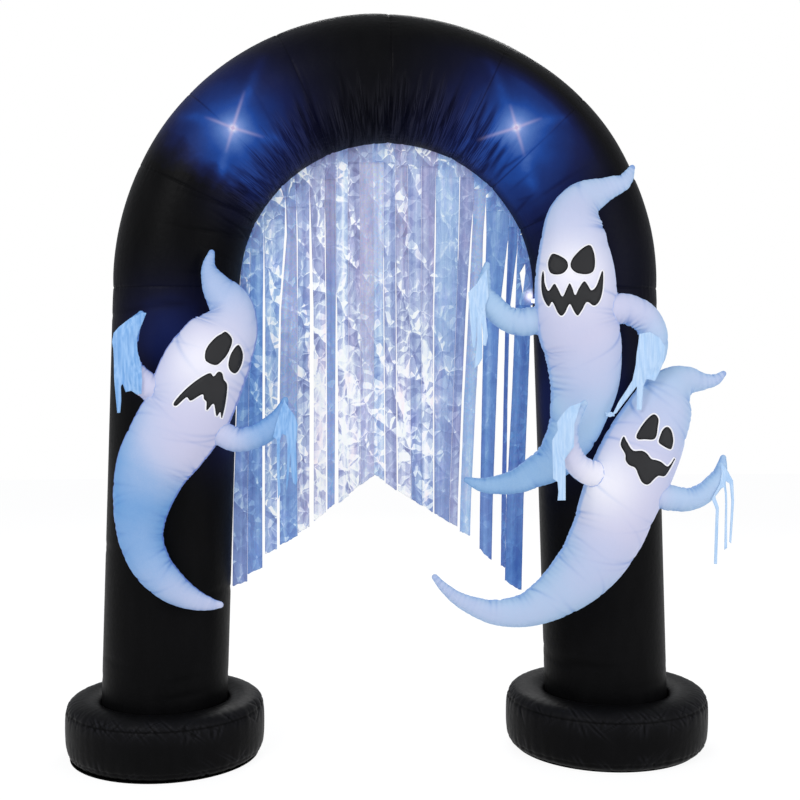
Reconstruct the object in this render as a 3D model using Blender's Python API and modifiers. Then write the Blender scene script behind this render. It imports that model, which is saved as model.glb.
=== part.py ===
# Inflatable arch with three ghosts on its legs, a slit film curtain and a blower at the back.
# The front faces -Y, +Z is up and the floor is at z = 0. Lengths are in metres.
import math

import bmesh
import bpy
from mathutils import Matrix, Vector
from mathutils.bvhtree import BVHTree

# Arch tube
spring_height = 1.730
spring_half_spacing = 0.776
leg_splay = 0.066
leg_radius = 0.231
crown_swell = 0.011
skin_wall = 0.0020
tube_sides = 24
crown_steps = 24
seam_gap = 0.0003

# Round bases
base_width = 0.147
base_foot_step = 0.028
base_height = 0.225
base_seam_height = 0.185
base_hole_height = 0.195
base_shoulder_height = 0.217
base_puff_step = 0.068
base_corner_step = 0.016
base_corner_height = 0.207
base_low_height = 0.045
floor_thickness = 0.0040
floor_gap = 0.0003
leg_hole_clearance = 0.0008
leg_port_radius = 0.045
leg_port_height = 0.100
ballast_clearance = 0.046
ballast_height = 0.070
ballast_sides = 16

# Curtain
film_wall = 0.0016
header_band = 0.060
header_thickness = 0.0020
curtain_apex_height = 1.035
curtain_side_height = 0.610
curtain_hem = 0.012
curtain_gap = 0.0009
film_ripple = 0.0035
film_ripple_length = 0.260
film_row_length = 0.150
bow_share = 0.5

# Ghosts
ghost_size = 1.250
ghost_depth_ratio = 0.72
ghost_back_clearance = 0.014
ghost_sides = 12
ghost_rings = 17
arm_sides = 8
arm_rings = 8
arm_forward = 0.117
arm_core_ratio = 0.60
arm_core_rings = 4
ghost_port_drop = 0.730
ghost_port_radius = 0.050
ghost_port_reach = 0.045
cloth_wall = 0.0016
cloth_ripple = 0.0040
cloth_hem = 0.050
cloth_row_length = 0.100
cloth_gap = 0.0004
cloth_samples = 40
tie_width = 0.030
tie_thickness = 0.0020

# Air collars between the legs and the ghosts
collar_wall = 0.0025
collar_lap = 0.010
port_clearance = 0.0003
port_start_share = 0.60

# Lamps
lamp_base_radius = 0.020
lamp_base_thickness = 0.006
lamp_globe_radius = 0.016
lamp_globe_length = 0.032
lamp_globe_sides = 12
lamp_tip_share = 0.55
lamp_place_share = 0.33
lamp_seat_gap = 0.0006
bar_width = 0.012
bar_thickness = 0.004
spotlight_radius = 0.009
spotlight_length = 0.012
spotlight_tip_share = 0.8
spotlight_drop = 0.045
spotlight_side = 0.020
left_lamp_angle = math.radians(135)
right_lamp_angle = math.radians(50)
small_round_sides = 16

# Blower in the back of the right base
fan_height = 0.112
fan_bore_radius = 0.0600
fan_wall = 0.0030
fan_sides = 32
fan_inside = 0.030
fan_outside = 0.062
fan_rim_radius = 0.0700
fan_rim_thickness = 0.006
fan_collar_wall = 0.0025
fan_collar_out = 0.022
grille_thickness = 0.003
grille_hub_radius = 0.020
grille_rib = 0.0045
grille_bands = 3
grille_slots = 6
grille_arc_steps = 4
motor_radius = 0.018
motor_length = 0.026
shaft_radius = 0.0030
shaft_length = 0.016
shaft_clearance = 0.0003
hub_radius = 0.016
hub_length = 0.018
hub_clearance = 0.0012
blade_count = 5
blade_thickness = 0.0022
blade_chord = 0.026
blade_pitch = math.radians(38)
blade_tip_clearance = 0.004
blade_root_sink = 0.003
inlet_width = 0.026
inlet_height = 0.018
inlet_length = 0.022
inlet_pin_radius = 0.0045

# Zipped vent in the back of the left leg
zip_low = 0.520
zip_high = 0.900
zip_tape_width = 0.036
zip_tape_thickness = 0.0016
zip_chain_width = 0.0060
zip_chain_height = 0.0022
vent_slot_width = 0.012
vent_slot_margin = 0.030
slider_width = 0.0140
slider_length = 0.0160
slider_top = 0.0030
slider_clearance = 0.0004
slider_end_margin = 0.012
staple_width = 0.0032
staple_length = 0.0074
staple_height = 0.0056
staple_eye_length = 0.0034
staple_eye_height = 0.0030
pull_length = 0.034
pull_width = 0.0110
pull_thickness = 0.0016
pull_window_width = 0.0056
pull_window_length = 0.0074
pull_bar = 0.0018

# Tabs for stakes and tethers
tab_length = 0.070
tab_width = 0.050
tab_thickness = 0.0030
tab_eye_radius = 0.0090
tab_angle = math.radians(60)
tether_angle = math.radians(62)
tether_reach = 0.046
tether_height = 0.040
tether_eye_share = 0.33

cut_overrun = 0.020
merge_distance = 0.00005
curve_steps = 24
flat_ratio = math.cos(math.pi / tube_sides)
fan_flat_ratio = math.cos(math.pi / fan_sides)
inner_half_width = spring_half_spacing - leg_radius * flat_ratio

# Strips of the curtain, left to right, as shares of the clear half width of the arch
strip_edge_shares = [
    (-0.987, -0.941), (-0.929, -0.845), (-0.832, -0.757), (-0.742, -0.631),
    (-0.620, -0.545), (-0.512, -0.430), (-0.422, -0.362), (-0.340, -0.272),
    (-0.265, -0.183), (-0.177, -0.091), (-0.086, -0.005), (0.002, 0.064),
    (0.071, 0.146), (0.154, 0.236), (0.243, 0.333), (0.340, 0.422),
    (0.430, 0.494), (0.501, 0.589), (0.638, 0.742), (0.790, 0.837), (0.852, 0.958),
]
strip_group_sizes = [1, 1, 1, 2, 3, 4, 3, 2, 1, 1, 1, 1]

# Ghosts as shares of ghost_size, measured from each ghost's air port.
# A body row is (x, z, half width), from the tip of the hood to the tip of the tail.
# An arm row is (x, z, forward, radius), from inside the shoulder to the fingertip.
# A tail of hand cloth is (left x, right x, lowest z).
ghost_share_tables = {
    "left_ghost": {
        "side": -1,
        "rise_share": 0.240,
        "offset_share": 0.040,
        "body_shares": [
            (0.090, 0.436, 0.0095), (0.083, 0.393, 0.022), (0.104, 0.343, 0.042),
            (0.140, 0.290, 0.063), (0.138, 0.235, 0.085), (0.108, 0.176, 0.106),
            (0.070, 0.105, 0.119), (0.026, 0.000, 0.119), (-0.024, -0.080, 0.113),
            (-0.069, -0.152, 0.101), (-0.099, -0.237, 0.084), (-0.110, -0.316, 0.069),
            (-0.102, -0.382, 0.060), (-0.072, -0.446, 0.054), (-0.022, -0.500, 0.045),
            (0.030, -0.534, 0.032), (0.078, -0.551, 0.019), (0.106, -0.555, 0.010),
        ],
        "arms": {
            "left": [
                (-0.033, 0.052, 0.0, 0.0405), (-0.078, 0.069, 0.0, 0.0378),
                (-0.118, 0.107, 0.0, 0.0350), (-0.136, 0.162, 0.0, 0.0322),
                (-0.125, 0.216, 0.0, 0.0269), (-0.095, 0.265, 0.0, 0.0090),
            ],
            "right": [
                (0.080, -0.035, 0.0, 0.0354), (0.148, -0.075, 0.0, 0.0355),
                (0.197, -0.075, 0.0, 0.0342), (0.244, -0.053, 0.0, 0.0328),
                (0.277, -0.017, 0.0, 0.0246), (0.294, 0.029, 0.0, 0.0090),
            ],
        },
        "cloth_top": {"left": 0.150, "right": -0.058},
        "cloth_tails": {
            "left": [(-0.172, -0.152, -0.008), (-0.149, -0.131, 0.048), (-0.127, -0.109, 0.044)],
            "right": [(0.212, 0.238, -0.272), (0.244, 0.266, -0.216), (0.272, 0.290, -0.204)],
        },
    },
    "upper_ghost": {
        "side": 1,
        "rise_share": 0.512,
        "offset_share": -0.080,
        "body_shares": [
            (0.140, 0.409, 0.0095), (0.115, 0.371, 0.0240), (0.062, 0.347, 0.0344),
            (-0.001, 0.315, 0.0570), (-0.030, 0.265, 0.0794), (-0.037, 0.201, 0.0934),
            (-0.036, 0.119, 0.1101), (-0.034, 0.041, 0.1158), (-0.028, -0.034, 0.1159),
            (-0.012, -0.109, 0.1092), (-0.006, -0.194, 0.0990), (-0.016, -0.269, 0.0850),
            (-0.038, -0.347, 0.0710), (-0.084, -0.418, 0.0580), (-0.137, -0.454, 0.0460),
            (-0.202, -0.484, 0.0345), (-0.279, -0.492, 0.0230), (-0.329, -0.478, 0.0095),
        ],
        "arms": {
            "left": [
                (-0.110, -0.018, 0.0, 0.0393), (-0.176, -0.028, 0.0, 0.0406),
                (-0.227, -0.020, 0.0, 0.0364), (-0.269, 0.016, 0.0, 0.0340),
                (-0.294, 0.060, 0.0, 0.0251), (-0.286, 0.129, 0.0, 0.0090),
            ],
            "right": [
                (0.035, 0.006, 0.0, 0.0424), (0.102, 0.008, 0.0, 0.0439),
                (0.154, -0.014, 0.0, 0.0426), (0.182, -0.059, 0.0, 0.0398),
                (0.183, -0.112, 0.0, 0.0380), (0.172, -0.154, 0.0, 0.0290),
                (0.157, -0.184, 0.0, 0.0114),
            ],
        },
        "cloth_top": {"left": 0.046, "right": -0.125},
        "cloth_tails": {
            "left": [(-0.339, -0.323, -0.104), (-0.320, -0.301, -0.156), (-0.298, -0.280, -0.096)],
            "right": [(0.069, 0.089, -0.288), (0.097, 0.125, -0.272), (0.132, 0.184, -0.260)],
        },
    },
    "lower_ghost": {
        "side": 1,
        "rise_share": 0.0,
        "offset_share": 0.0,
        "body_shares": [
            (0.313, 0.335, 0.0095), (0.288, 0.319, 0.0180), (0.252, 0.314, 0.0255),
            (0.206, 0.316, 0.0422), (0.166, 0.300, 0.0640), (0.132, 0.262, 0.0850),
            (0.100, 0.207, 0.0978), (0.068, 0.145, 0.1090), (0.036, 0.078, 0.1140),
            (0.008, 0.011, 0.1130), (-0.013, -0.045, 0.1090), (-0.037, -0.112, 0.1033),
            (-0.078, -0.187, 0.0940), (-0.128, -0.248, 0.0820), (-0.194, -0.303, 0.0650),
            (-0.267, -0.338, 0.0490), (-0.355, -0.343, 0.0360), (-0.440, -0.314, 0.0230),
            (-0.491, -0.277, 0.0150), (-0.520, -0.245, 0.0095),
        ],
        "arms": {
            "left": [
                (-0.055, 0.052, 0.0, 0.0398), (-0.109, 0.070, 0.024, 0.0370),
                (-0.147, 0.104, 0.042, 0.0335), (-0.167, 0.154, 0.062, 0.0297),
                (-0.161, 0.210, 0.069, 0.0268), (-0.125, 0.261, 0.074, 0.0090),
            ],
            "right": [
                (0.060, 0.012, 0.0, 0.0401), (0.137, -0.011, 0.0, 0.0373),
                (0.194, -0.015, 0.0, 0.0331), (0.240, 0.007, 0.0, 0.0302),
                (0.277, 0.053, 0.0, 0.0216), (0.288, 0.101, 0.0, 0.0090),
            ],
        },
        "cloth_top": {"left": 0.152, "right": 0.040},
        "cloth_tails": {
            "left": [(-0.215, -0.201, 0.046), (-0.193, -0.172, -0.008), (-0.166, -0.147, 0.048)],
            "right": [(0.251, 0.261, -0.198), (0.275, 0.285, -0.155), (0.293, 0.303, -0.138)],
        },
    },
}
tie_place_shares = (-0.040, 0.101, 0.226)
foremost_cloth = "lower_ghost_left_hand_cloth"

# Ballast bag from the middle of its top to the middle of its foot: (radius, height)
ballast_shares = [
    (0, 1), (0.60, 0.93), (0.92, 0.68), (1, 0.45), (0.95, 0.20), (0.81, 0), (0, 0),
]


def leg_centre(height):
    """x of the leg's centre line at a height: the legs stand slightly apart at the floor."""
    return spring_half_spacing + leg_splay * (1 - height / spring_height)


base_radius = leg_radius + base_width
base_foot_radius = base_radius - base_foot_step
base_centre = leg_centre(base_hole_height)
base_back_flat = base_radius * flat_ratio
fan_outer_radius = fan_bore_radius + fan_wall
fan_back = base_back_flat + fan_outside
rear_reach = fan_back + port_clearance + grille_thickness
back_plane = -(leg_radius * flat_ratio + ghost_back_clearance)
arm_plane = back_plane - arm_forward
lower_port_height = spring_height - ghost_port_drop

# The scene starts empty.
for old in list(bpy.data.objects):
    bpy.data.objects.remove(old, do_unlink=True)

parts = bpy.data.collections.new("inflatable_arch")
cutters = bpy.data.collections.new("cutters")
bpy.context.scene.collection.children.link(parts)
bpy.context.scene.collection.children.link(cutters)
arch_root = bpy.data.objects.new("arch_root", None)
parts.objects.link(arch_root)

materials = {}


def material(name, color, roughness, metallic=0.0):
    """One Principled material per finish, made the first time it is asked for."""
    if name not in materials:
        made = bpy.data.materials.new(name)
        made.use_nodes = True
        shader = made.node_tree.nodes["Principled BSDF"]
        shader.inputs["Base Color"].default_value = (*color, 1.0)
        shader.inputs["Roughness"].default_value = roughness
        shader.inputs["Metallic"].default_value = metallic
        materials[name] = made
    return materials[name]


def finish(name, kind):
    """Material for one node, from the finishes of the object."""
    kinds = {
        "black_nylon": ((0.018, 0.020, 0.026), 0.48, 0.0),
        "white_nylon": ((0.86, 0.87, 0.95), 0.55, 0.0),
        "blue_nylon": ((0.42, 0.60, 0.85), 0.55, 0.0),
        "film": ((0.74, 0.80, 0.96), 0.18, 0.35),
        "white_cloth": ((0.80, 0.84, 0.95), 0.7, 0.0),
        "webbing": ((0.03, 0.03, 0.035), 0.7, 0.0),
        "black_plastic": ((0.03, 0.03, 0.034), 0.4, 0.0),
        "grey_plastic": ((0.22, 0.22, 0.24), 0.4, 0.0),
        "clear_lens": ((0.75, 0.82, 1.0), 0.15, 0.0),
        "zinc": ((0.55, 0.55, 0.57), 0.3, 1.0),
        "ballast_cloth": ((0.06, 0.06, 0.07), 0.8, 0.0),
    }
    color, roughness, metallic = kinds[kind]
    return material(name + "_" + kind, color, roughness, metallic)


def add(name, mesh, kind, location=(0, 0, 0), rotation=(0, 0, 0)):
    """A part of the object, carried by the root."""
    obj = bpy.data.objects.new(name, mesh)
    parts.objects.link(obj)
    obj.parent = arch_root
    obj.location = location
    obj.rotation_euler = rotation
    if mesh.materials:
        mesh.materials.clear()
    mesh.materials.append(finish(name, kind))
    return obj


def add_cutter(name, mesh, location=(0, 0, 0), rotation=(0, 0, 0)):
    """A shape that only cuts others."""
    obj = bpy.data.objects.new(name, mesh)
    cutters.objects.link(obj)
    obj.parent = arch_root
    obj.location = location
    obj.rotation_euler = rotation
    obj.display_type = "WIRE"
    obj.hide_render = True
    return obj


def smooth(mesh, angle=math.radians(40)):
    mesh.shade_smooth()
    mesh.set_sharp_from_angle(angle=angle)
    return mesh


def mesh_from(build, name):
    """Mesh made by a function that fills a bmesh."""
    work = bmesh.new()
    build(work)
    bmesh.ops.recalc_face_normals(work, faces=work.faces[:])
    mesh = bpy.data.meshes.new(name)
    work.to_mesh(mesh)
    work.free()
    return mesh


def boolean(obj, cutter, operation="DIFFERENCE"):
    step = obj.modifiers.new(operation.lower(), "BOOLEAN")
    step.operation = operation
    step.solver = "EXACT"
    step.object = cutter
    return step


def thicken(obj, thickness):
    """Wall grown inwards from the outer face."""
    step = obj.modifiers.new("wall", "SOLIDIFY")
    step.thickness = thickness
    step.offset = -1
    return step


def evaluated(obj):
    """Mesh of an object with its modifiers, in the object's own axes."""
    bpy.context.view_layer.update()
    graph = bpy.context.evaluated_depsgraph_get()
    return bpy.data.meshes.new_from_object(obj.evaluated_get(graph))


def along(direction):
    """Euler angles that turn a primitive's Z axis to a direction."""
    return Vector(direction).to_track_quat("Z", "Y").to_euler()


def cylinder_mesh(name, radius, depth, sides, top_radius=None):
    def build(work):
        bmesh.ops.create_cone(
            work, cap_ends=True, segments=sides, radius1=radius,
            radius2=radius if top_radius is None else top_radius, depth=depth,
        )
    return mesh_from(build, name)


def box_mesh(name, size):
    def build(work):
        bmesh.ops.create_cube(work, size=1.0, matrix=Matrix.Diagonal((*size, 1.0)))
    return mesh_from(build, name)


def tube_mesh(name, radius, wall, length, sides):
    """Open tube along Z: an outer wall, an inner wall and two ring ends."""
    def build(work):
        rings = []
        for ring_radius, z in (
            (radius, 0), (radius, length), (radius - wall, length), (radius - wall, 0)
        ):
            rings.append([
                work.verts.new((
                    ring_radius * math.cos(2 * math.pi * (k + 0.5) / sides),
                    ring_radius * math.sin(2 * math.pi * (k + 0.5) / sides),
                    z,
                ))
                for k in range(sides)
            ])
        for low, high in zip(rings, rings[1:] + rings[:1]):
            for k in range(sides):
                after = (k + 1) % sides
                work.faces.new((low[k], low[after], high[after], high[k]))
    return mesh_from(build, name)


def loft_mesh(name, sections, sides, close_start, close_end):
    """Skin through sections of unlike size. A section is (centre, side axis, depth axis)."""
    def build(work):
        rings = []
        for centre, side, depth in sections:
            ring = []
            for k in range(sides):
                turn = 2 * math.pi * (k + 0.5) / sides
                ring.append(work.verts.new(centre + math.cos(turn) * side + math.sin(turn) * depth))
            rings.append(ring)
        for low, high in zip(rings, rings[1:]):
            for k in range(sides):
                after = (k + 1) % sides
                work.faces.new((low[k], low[after], high[after], high[k]))
        if close_start:
            work.faces.new(list(reversed(rings[0])))
        if close_end:
            work.faces.new(rings[-1])
    mesh = mesh_from(build, name)
    return smooth(mesh)


def turned(name, profile, steps, kind, location, rotation=(0, 0, 0)):
    """Turned part: a profile (radius, z) that runs down its outer side, swept about Z."""
    mesh = bpy.data.meshes.new(name)
    points = [(radius, 0, z) for radius, z in profile]
    mesh.from_pydata(points, [(k, k + 1) for k in range(len(points) - 1)], [])
    obj = add(name, mesh, kind, location, rotation)
    screw = obj.modifiers.new("turn", "SCREW")
    screw.steps = steps
    screw.render_steps = steps
    screw.merge_threshold = merge_distance
    screw.use_merge_vertices = True
    screw.use_smooth_shade = True
    return obj


def catmull(rows, count):
    """Points spread evenly along a smooth curve through rows of numbers."""
    dense = []
    padded = [rows[0]] + list(rows) + [rows[-1]]
    for i in range(1, len(padded) - 2):
        before, start, end, after = padded[i - 1:i + 3]
        for k in range(curve_steps):
            t = k / curve_steps
            dense.append([
                0.5 * (2 * b + (c - a) * t + (2 * a - 5 * b + 4 * c - d) * t ** 2
                       + (3 * b - a - 3 * c + d) * t ** 3)
                for a, b, c, d in zip(before, start, end, after)
            ])
    dense.append(list(rows[-1]))
    travelled = [0.0]
    for one, two in zip(dense, dense[1:]):
        travelled.append(travelled[-1] + math.dist(one[:2], two[:2]))
    picked = []
    place = 0
    for k in range(count):
        goal = travelled[-1] * k / (count - 1)
        while place < len(travelled) - 2 and travelled[place + 1] < goal:
            place += 1
        span = max(travelled[place + 1] - travelled[place], 1e-9)
        share = min(max((goal - travelled[place]) / span, 0), 1)
        picked.append([a + (b - a) * share for a, b in zip(dense[place], dense[place + 1])])
    return picked


# Arch skin
def tube_section(x, z, radius, outward):
    return Vector((x, 0, z)), outward * radius, Vector((0, radius, 0))


def crown_sections():
    sections = []
    for k in range(crown_steps + 1):
        turn = math.pi * k / crown_steps
        radius = leg_radius + crown_swell * math.sin(turn)
        outward = Vector((math.cos(turn), 0, math.sin(turn)))
        centre = outward * spring_half_spacing
        sections.append(tube_section(centre.x, spring_height + centre.z, radius, outward))
    return sections


def add_crown():
    crown = add("crown_skin", loft_mesh("crown_skin", crown_sections(), tube_sides, False, False),
                "black_nylon")
    thicken(crown, skin_wall)


def add_leg(name, side):
    low = floor_thickness + floor_gap
    high = spring_height - seam_gap
    sections = [
        tube_section(side * leg_centre(z), z, leg_radius, Vector((1, 0, 0))) for z in (low, high)
    ]
    leg = add(name, loft_mesh(name, sections, tube_sides, False, False), "black_nylon")
    thicken(leg, skin_wall)
    for axis, direction in (("x", (1, 0, 0)), ("y", (0, 1, 0))):
        port = cylinder_mesh(name + "_port_" + axis, leg_port_radius,
                             2 * (leg_radius + cut_overrun), small_round_sides)
        place = (side * leg_centre(leg_port_height), 0, leg_port_height)
        boolean(leg, add_cutter(name + "_port_" + axis, port, place, along(direction)))
    return leg


def add_base(name, side):
    """Round base: the puffed ring skin round the leg, its floor and its ballast bag."""
    foot = floor_thickness + floor_gap
    hole = (leg_radius * flat_ratio + leg_hole_clearance) / flat_ratio
    puff_radius = base_radius - base_puff_step
    profile = [
        (hole, base_hole_height),
        ((hole + puff_radius) / 2, base_shoulder_height),
        (puff_radius, base_height),
        (base_radius - base_corner_step, base_corner_height),
        (base_radius, base_seam_height),
        (base_radius, base_low_height),
        (base_foot_radius, foot),
    ]
    turn = (0, 0, math.pi / tube_sides)
    ring = turned(name + "_base_ring", profile, tube_sides, "black_nylon",
                  (side * base_centre, 0, 0), turn)
    thicken(ring, skin_wall)
    floor = cylinder_mesh(name + "_base_floor", base_foot_radius, floor_thickness, tube_sides)
    add(name + "_base_floor", floor, "black_nylon",
        (side * base_centre, 0, floor_thickness / 2), turn)
    ballast_radius = leg_radius - ballast_clearance
    ballast = [(r * ballast_radius, foot + h * ballast_height) for r, h in ballast_shares]
    turned(name + "_ballast_bag", ballast, ballast_sides, "ballast_cloth",
           (side * base_centre, 0, 0))
    return ring


add_crown()
leg_skins = {"left": add_leg("left_leg_skin", -1), "right": add_leg("right_leg_skin", 1)}
base_rings = {"left": add_base("left", -1), "right": add_base("right", 1)}


# Curtain
def curtain_groups():
    """Strips that share one hem: each group as a list of (left x, right x)."""
    groups = []
    start = 0
    for size in strip_group_sizes:
        shares = strip_edge_shares[start:start + size]
        groups.append([(a * inner_half_width, b * inner_half_width) for a, b in shares])
        start += size
    return groups


def group_breaks(groups):
    """x of the header's steps: half way between neighbouring groups, and the arch at both ends."""
    breaks = [-inner_half_width + seam_gap]
    for left, right in zip(groups, groups[1:]):
        breaks.append((left[-1][1] + right[0][0]) / 2)
    return breaks + [inner_half_width - seam_gap]


def group_tops(groups):
    """Heights where the hems meet the header: a band below the arch at each step's outer end."""
    breaks = group_breaks(groups)
    tops = []
    for near, far in zip(breaks, breaks[1:]):
        reach = max(abs(near), abs(far)) + seam_gap
        rise = math.sqrt(max(inner_half_width ** 2 - reach ** 2, 0))
        tops.append(spring_height + rise - header_band)
    return tops


def curtain_low(x):
    """The curtain's lower edge is an inverted V."""
    slope = (curtain_side_height - curtain_apex_height) / inner_half_width
    return curtain_apex_height + slope * abs(x)


def outline_mesh(name, outlines, thickness):
    """Flat plate in the XZ plane: the first outline is its edge, the others are holes."""
    curve = bpy.data.curves.new(name, "CURVE")
    curve.dimensions = "2D"
    curve.fill_mode = "BOTH"
    curve.extrude = thickness / 2
    for outline in outlines:
        spline = curve.splines.new("POLY")
        spline.points.add(len(outline) - 1)
        for point, (x, z) in zip(spline.points, outline):
            point.co = (x, z, 0, 1)
        spline.use_cyclic_u = True
    holder = bpy.data.objects.new(name + "_outline", curve)
    bpy.context.scene.collection.objects.link(holder)
    mesh = evaluated(holder)
    bpy.data.objects.remove(holder, do_unlink=True)
    work = bmesh.new()
    work.from_mesh(mesh)
    bmesh.ops.remove_doubles(work, verts=work.verts[:], dist=merge_distance)
    bmesh.ops.rotate(work, verts=work.verts[:], matrix=Matrix.Rotation(math.pi / 2, 3, "X"))
    bmesh.ops.recalc_face_normals(work, faces=work.faces[:])
    work.to_mesh(mesh)
    work.free()
    return mesh


def add_header():
    groups = curtain_groups()
    outer = []
    for centre, side, _ in crown_sections():
        inner = spring_half_spacing - side.length * flat_ratio - seam_gap
        outward = side.normalized()
        outer.append((outward.x * inner, spring_height + outward.z * inner))
    tops = group_tops(groups)
    breaks = group_breaks(groups)
    lower = []
    for k, top in enumerate(tops):
        lower += [(breaks[k], top), (breaks[k + 1], top)]
    plate = outline_mesh("curtain_header", [outer + lower], header_thickness)
    return add("curtain_header", plate, "film")


def fringe_mesh(name, tails, top, hem, row_length, ripple, ripple_length):
    """Cloth slit into tails below a hem. A tail is (left x, right x, left low z, right low z)."""
    def build(work):
        last = None
        for number, (left, right, low_left, low_right) in enumerate(tails):
            longest = top - hem - min(low_left, low_right)
            rows = max(2, round(longest / row_length))
            columns = []
            for share in (0.0, 0.5, 1.0):
                x = left + (right - left) * share
                low = low_left + (low_right - low_left) * share
                heights = [top, top - hem]
                heights += [top - hem - (top - hem - low) * k / rows for k in range(1, rows + 1)]
                column = []
                for k, z in enumerate(heights):
                    swell = min(k, 2) / 2
                    bend = math.sin(2 * math.pi * (top - z) / ripple_length + number)
                    bow = bow_share if share == 0.5 else -bow_share
                    y = -ripple * swell * (1 + bow_share + bend + bow)
                    column.append(work.verts.new((x, y if k > 1 else 0, z - top)))
                columns.append(column)
            for one, two in zip(columns, columns[1:]):
                for k in range(len(one) - 1):
                    work.faces.new((one[k], two[k], two[k + 1], one[k + 1]))
            if last:
                work.faces.new((last[0], columns[0][0], columns[0][1], last[1]))
            last = columns[-1]
    mesh = mesh_from(build, name)
    return smooth(mesh)


def add_fringe(name, tails, top, y, kind, hem, row_length, ripple, ripple_length, wall):
    """Hanging cloth whose origin is its hinge line, at the middle of its upper edge."""
    middle = (tails[0][0] + tails[-1][1]) / 2
    moved = [(a - middle, b - middle, c, d) for a, b, c, d in tails]
    mesh = fringe_mesh(name, moved, top, hem, row_length, ripple, ripple_length)
    cloth = add(name, mesh, kind, (middle, y, top))
    step = thicken(cloth, wall)
    step.offset = 0
    return cloth


def add_curtain():
    add_header()
    groups = curtain_groups()
    for number, (group, top) in enumerate(zip(groups, group_tops(groups)), start=1):
        tails = [(a, b, curtain_low(a), curtain_low(b)) for a, b in group]
        add_fringe("curtain_strips_%02d" % number, tails, top - curtain_gap, 0, "film",
                   curtain_hem, film_row_length, film_ripple, film_ripple_length, film_wall)


add_curtain()


# Ghosts
def port_place(table):
    height = lower_port_height + table["rise_share"] * ghost_size
    return table["side"] * leg_centre(height) + table["offset_share"] * ghost_size, height


def body_sections(table, grow=0.0):
    """Sections of a ghost's body. They lean on one plane in front of the legs."""
    port_x, port_z = port_place(table)
    picked = catmull(table["body_shares"], ghost_rings)
    sections = []
    for k, (x, z, half) in enumerate(picked):
        ahead = picked[min(k + 1, len(picked) - 1)]
        behind = picked[max(k - 1, 0)]
        run = Vector((ahead[0] - behind[0], 0, ahead[1] - behind[1])).normalized()
        width = half * ghost_size
        depth = width * ghost_depth_ratio
        centre = Vector((port_x + x * ghost_size, back_plane - depth, port_z + z * ghost_size))
        across = Vector((-run.z, 0, run.x))
        if grow and k in (0, len(picked) - 1):
            centre += run * (grow if k else -grow)
        sections.append((centre, across * (width + grow), Vector((0, depth + grow, 0))))
    return sections


def arm_sections(table, hand, ratio=1.0, count=None):
    port_x, port_z = port_place(table)
    picked = catmull(table["arms"][hand], arm_rings)
    sections = []
    for k, (x, z, forward, radius) in enumerate(picked):
        ahead = picked[min(k + 1, len(picked) - 1)]
        behind = picked[max(k - 1, 0)]
        run = Vector((ahead[0] - behind[0], 0, ahead[1] - behind[1])).normalized()
        centre = Vector((
            port_x + x * ghost_size, arm_plane - forward * ghost_size, port_z + z * ghost_size
        ))
        size = radius * ghost_size * ratio
        across = Vector((-run.z, 0, run.x))
        sections.append((centre, across * size, Vector((0, size, 0))))
    return sections[:count] if count else sections


def cloth_front(arm, left, right, low, top):
    """Foremost place of a sleeve behind its hand cloth, where the cloth is sewn on."""
    bpy.context.view_layer.update()
    surface = BVHTree.FromObject(arm, bpy.context.evaluated_depsgraph_get())
    fronts = []
    for across in range(cloth_samples + 1):
        for up in range(cloth_samples + 1):
            x = left + (right - left) * across / cloth_samples
            z = low + (top - low) * up / cloth_samples
            place = surface.ray_cast(Vector((x, 2 * arm_plane, z)), Vector((0, 1, 0)))[0]
            if place:
                fronts.append(place.y)
    return min(fronts)


def add_ghost(name, table):
    port_x, port_z = port_place(table)
    skin = loft_mesh(name + "_body", body_sections(table), ghost_sides, True, True)
    body = add(name + "_body", skin, "white_nylon")
    thicken(body, skin_wall)
    port_start = leg_radius * port_start_share
    port_depth = -back_plane + ghost_port_reach
    port_radius = (ghost_port_radius + port_clearance) / flat_ratio
    port = cylinder_mesh(name + "_port", port_radius, port_depth - port_start, tube_sides)
    middle = -(port_depth + port_start) / 2
    cutter = add_cutter(name + "_port", port, (port_x, middle, port_z), along((0, 1, 0)))
    boolean(body, cutter)
    boolean(leg_skins["left" if table["side"] < 0 else "right"], cutter)
    grown = loft_mesh(name + "_clear", body_sections(table, seam_gap), ghost_sides, True, True)
    clear = add_cutter(name + "_clear", grown)
    for hand in table["arms"]:
        arm_name = "%s_%s_arm" % (name, hand)
        sleeve = loft_mesh(arm_name, arm_sections(table, hand), arm_sides, False, True)
        arm = add(arm_name, sleeve, "blue_nylon")
        thicken(arm, skin_wall)
        boolean(arm, clear)
        core = loft_mesh(arm_name + "_core", arm_sections(table, hand, arm_core_ratio, arm_core_rings),
                         arm_sides, True, True)
        boolean(body, add_cutter(arm_name + "_core", core))
        tails = [
            (port_x + a * ghost_size, port_x + b * ghost_size, port_z + low * ghost_size,
             port_z + low * ghost_size)
            for a, b, low in table["cloth_tails"][hand]
        ]
        top = port_z + table["cloth_top"][hand] * ghost_size
        lowest = min(tail[2] for tail in tails)
        front = cloth_front(arm, tails[0][0], tails[-1][1], lowest, top)
        add_fringe("%s_%s_hand_cloth" % (name, hand), tails, top,
                   front - cloth_gap - cloth_wall / 2, "white_cloth", cloth_hem,
                   cloth_row_length, cloth_ripple, film_ripple_length, cloth_wall)
    add_collar(name, port_x, port_z)
    add_ghost_lamp(name, port_x, port_z)


def add_collar(name, x, z):
    """Sewn sleeve that lets air from the leg into the ghost and holds the ghost's lamp."""
    start = leg_radius * port_start_share + collar_lap
    length = -back_plane + ghost_port_reach - collar_lap - start
    mesh = tube_mesh(name + "_air_collar", ghost_port_radius, collar_wall, length, tube_sides)
    add(name + "_air_collar", smooth(mesh), "black_nylon", (x, -start, z), along((0, -1, 0)))


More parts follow.
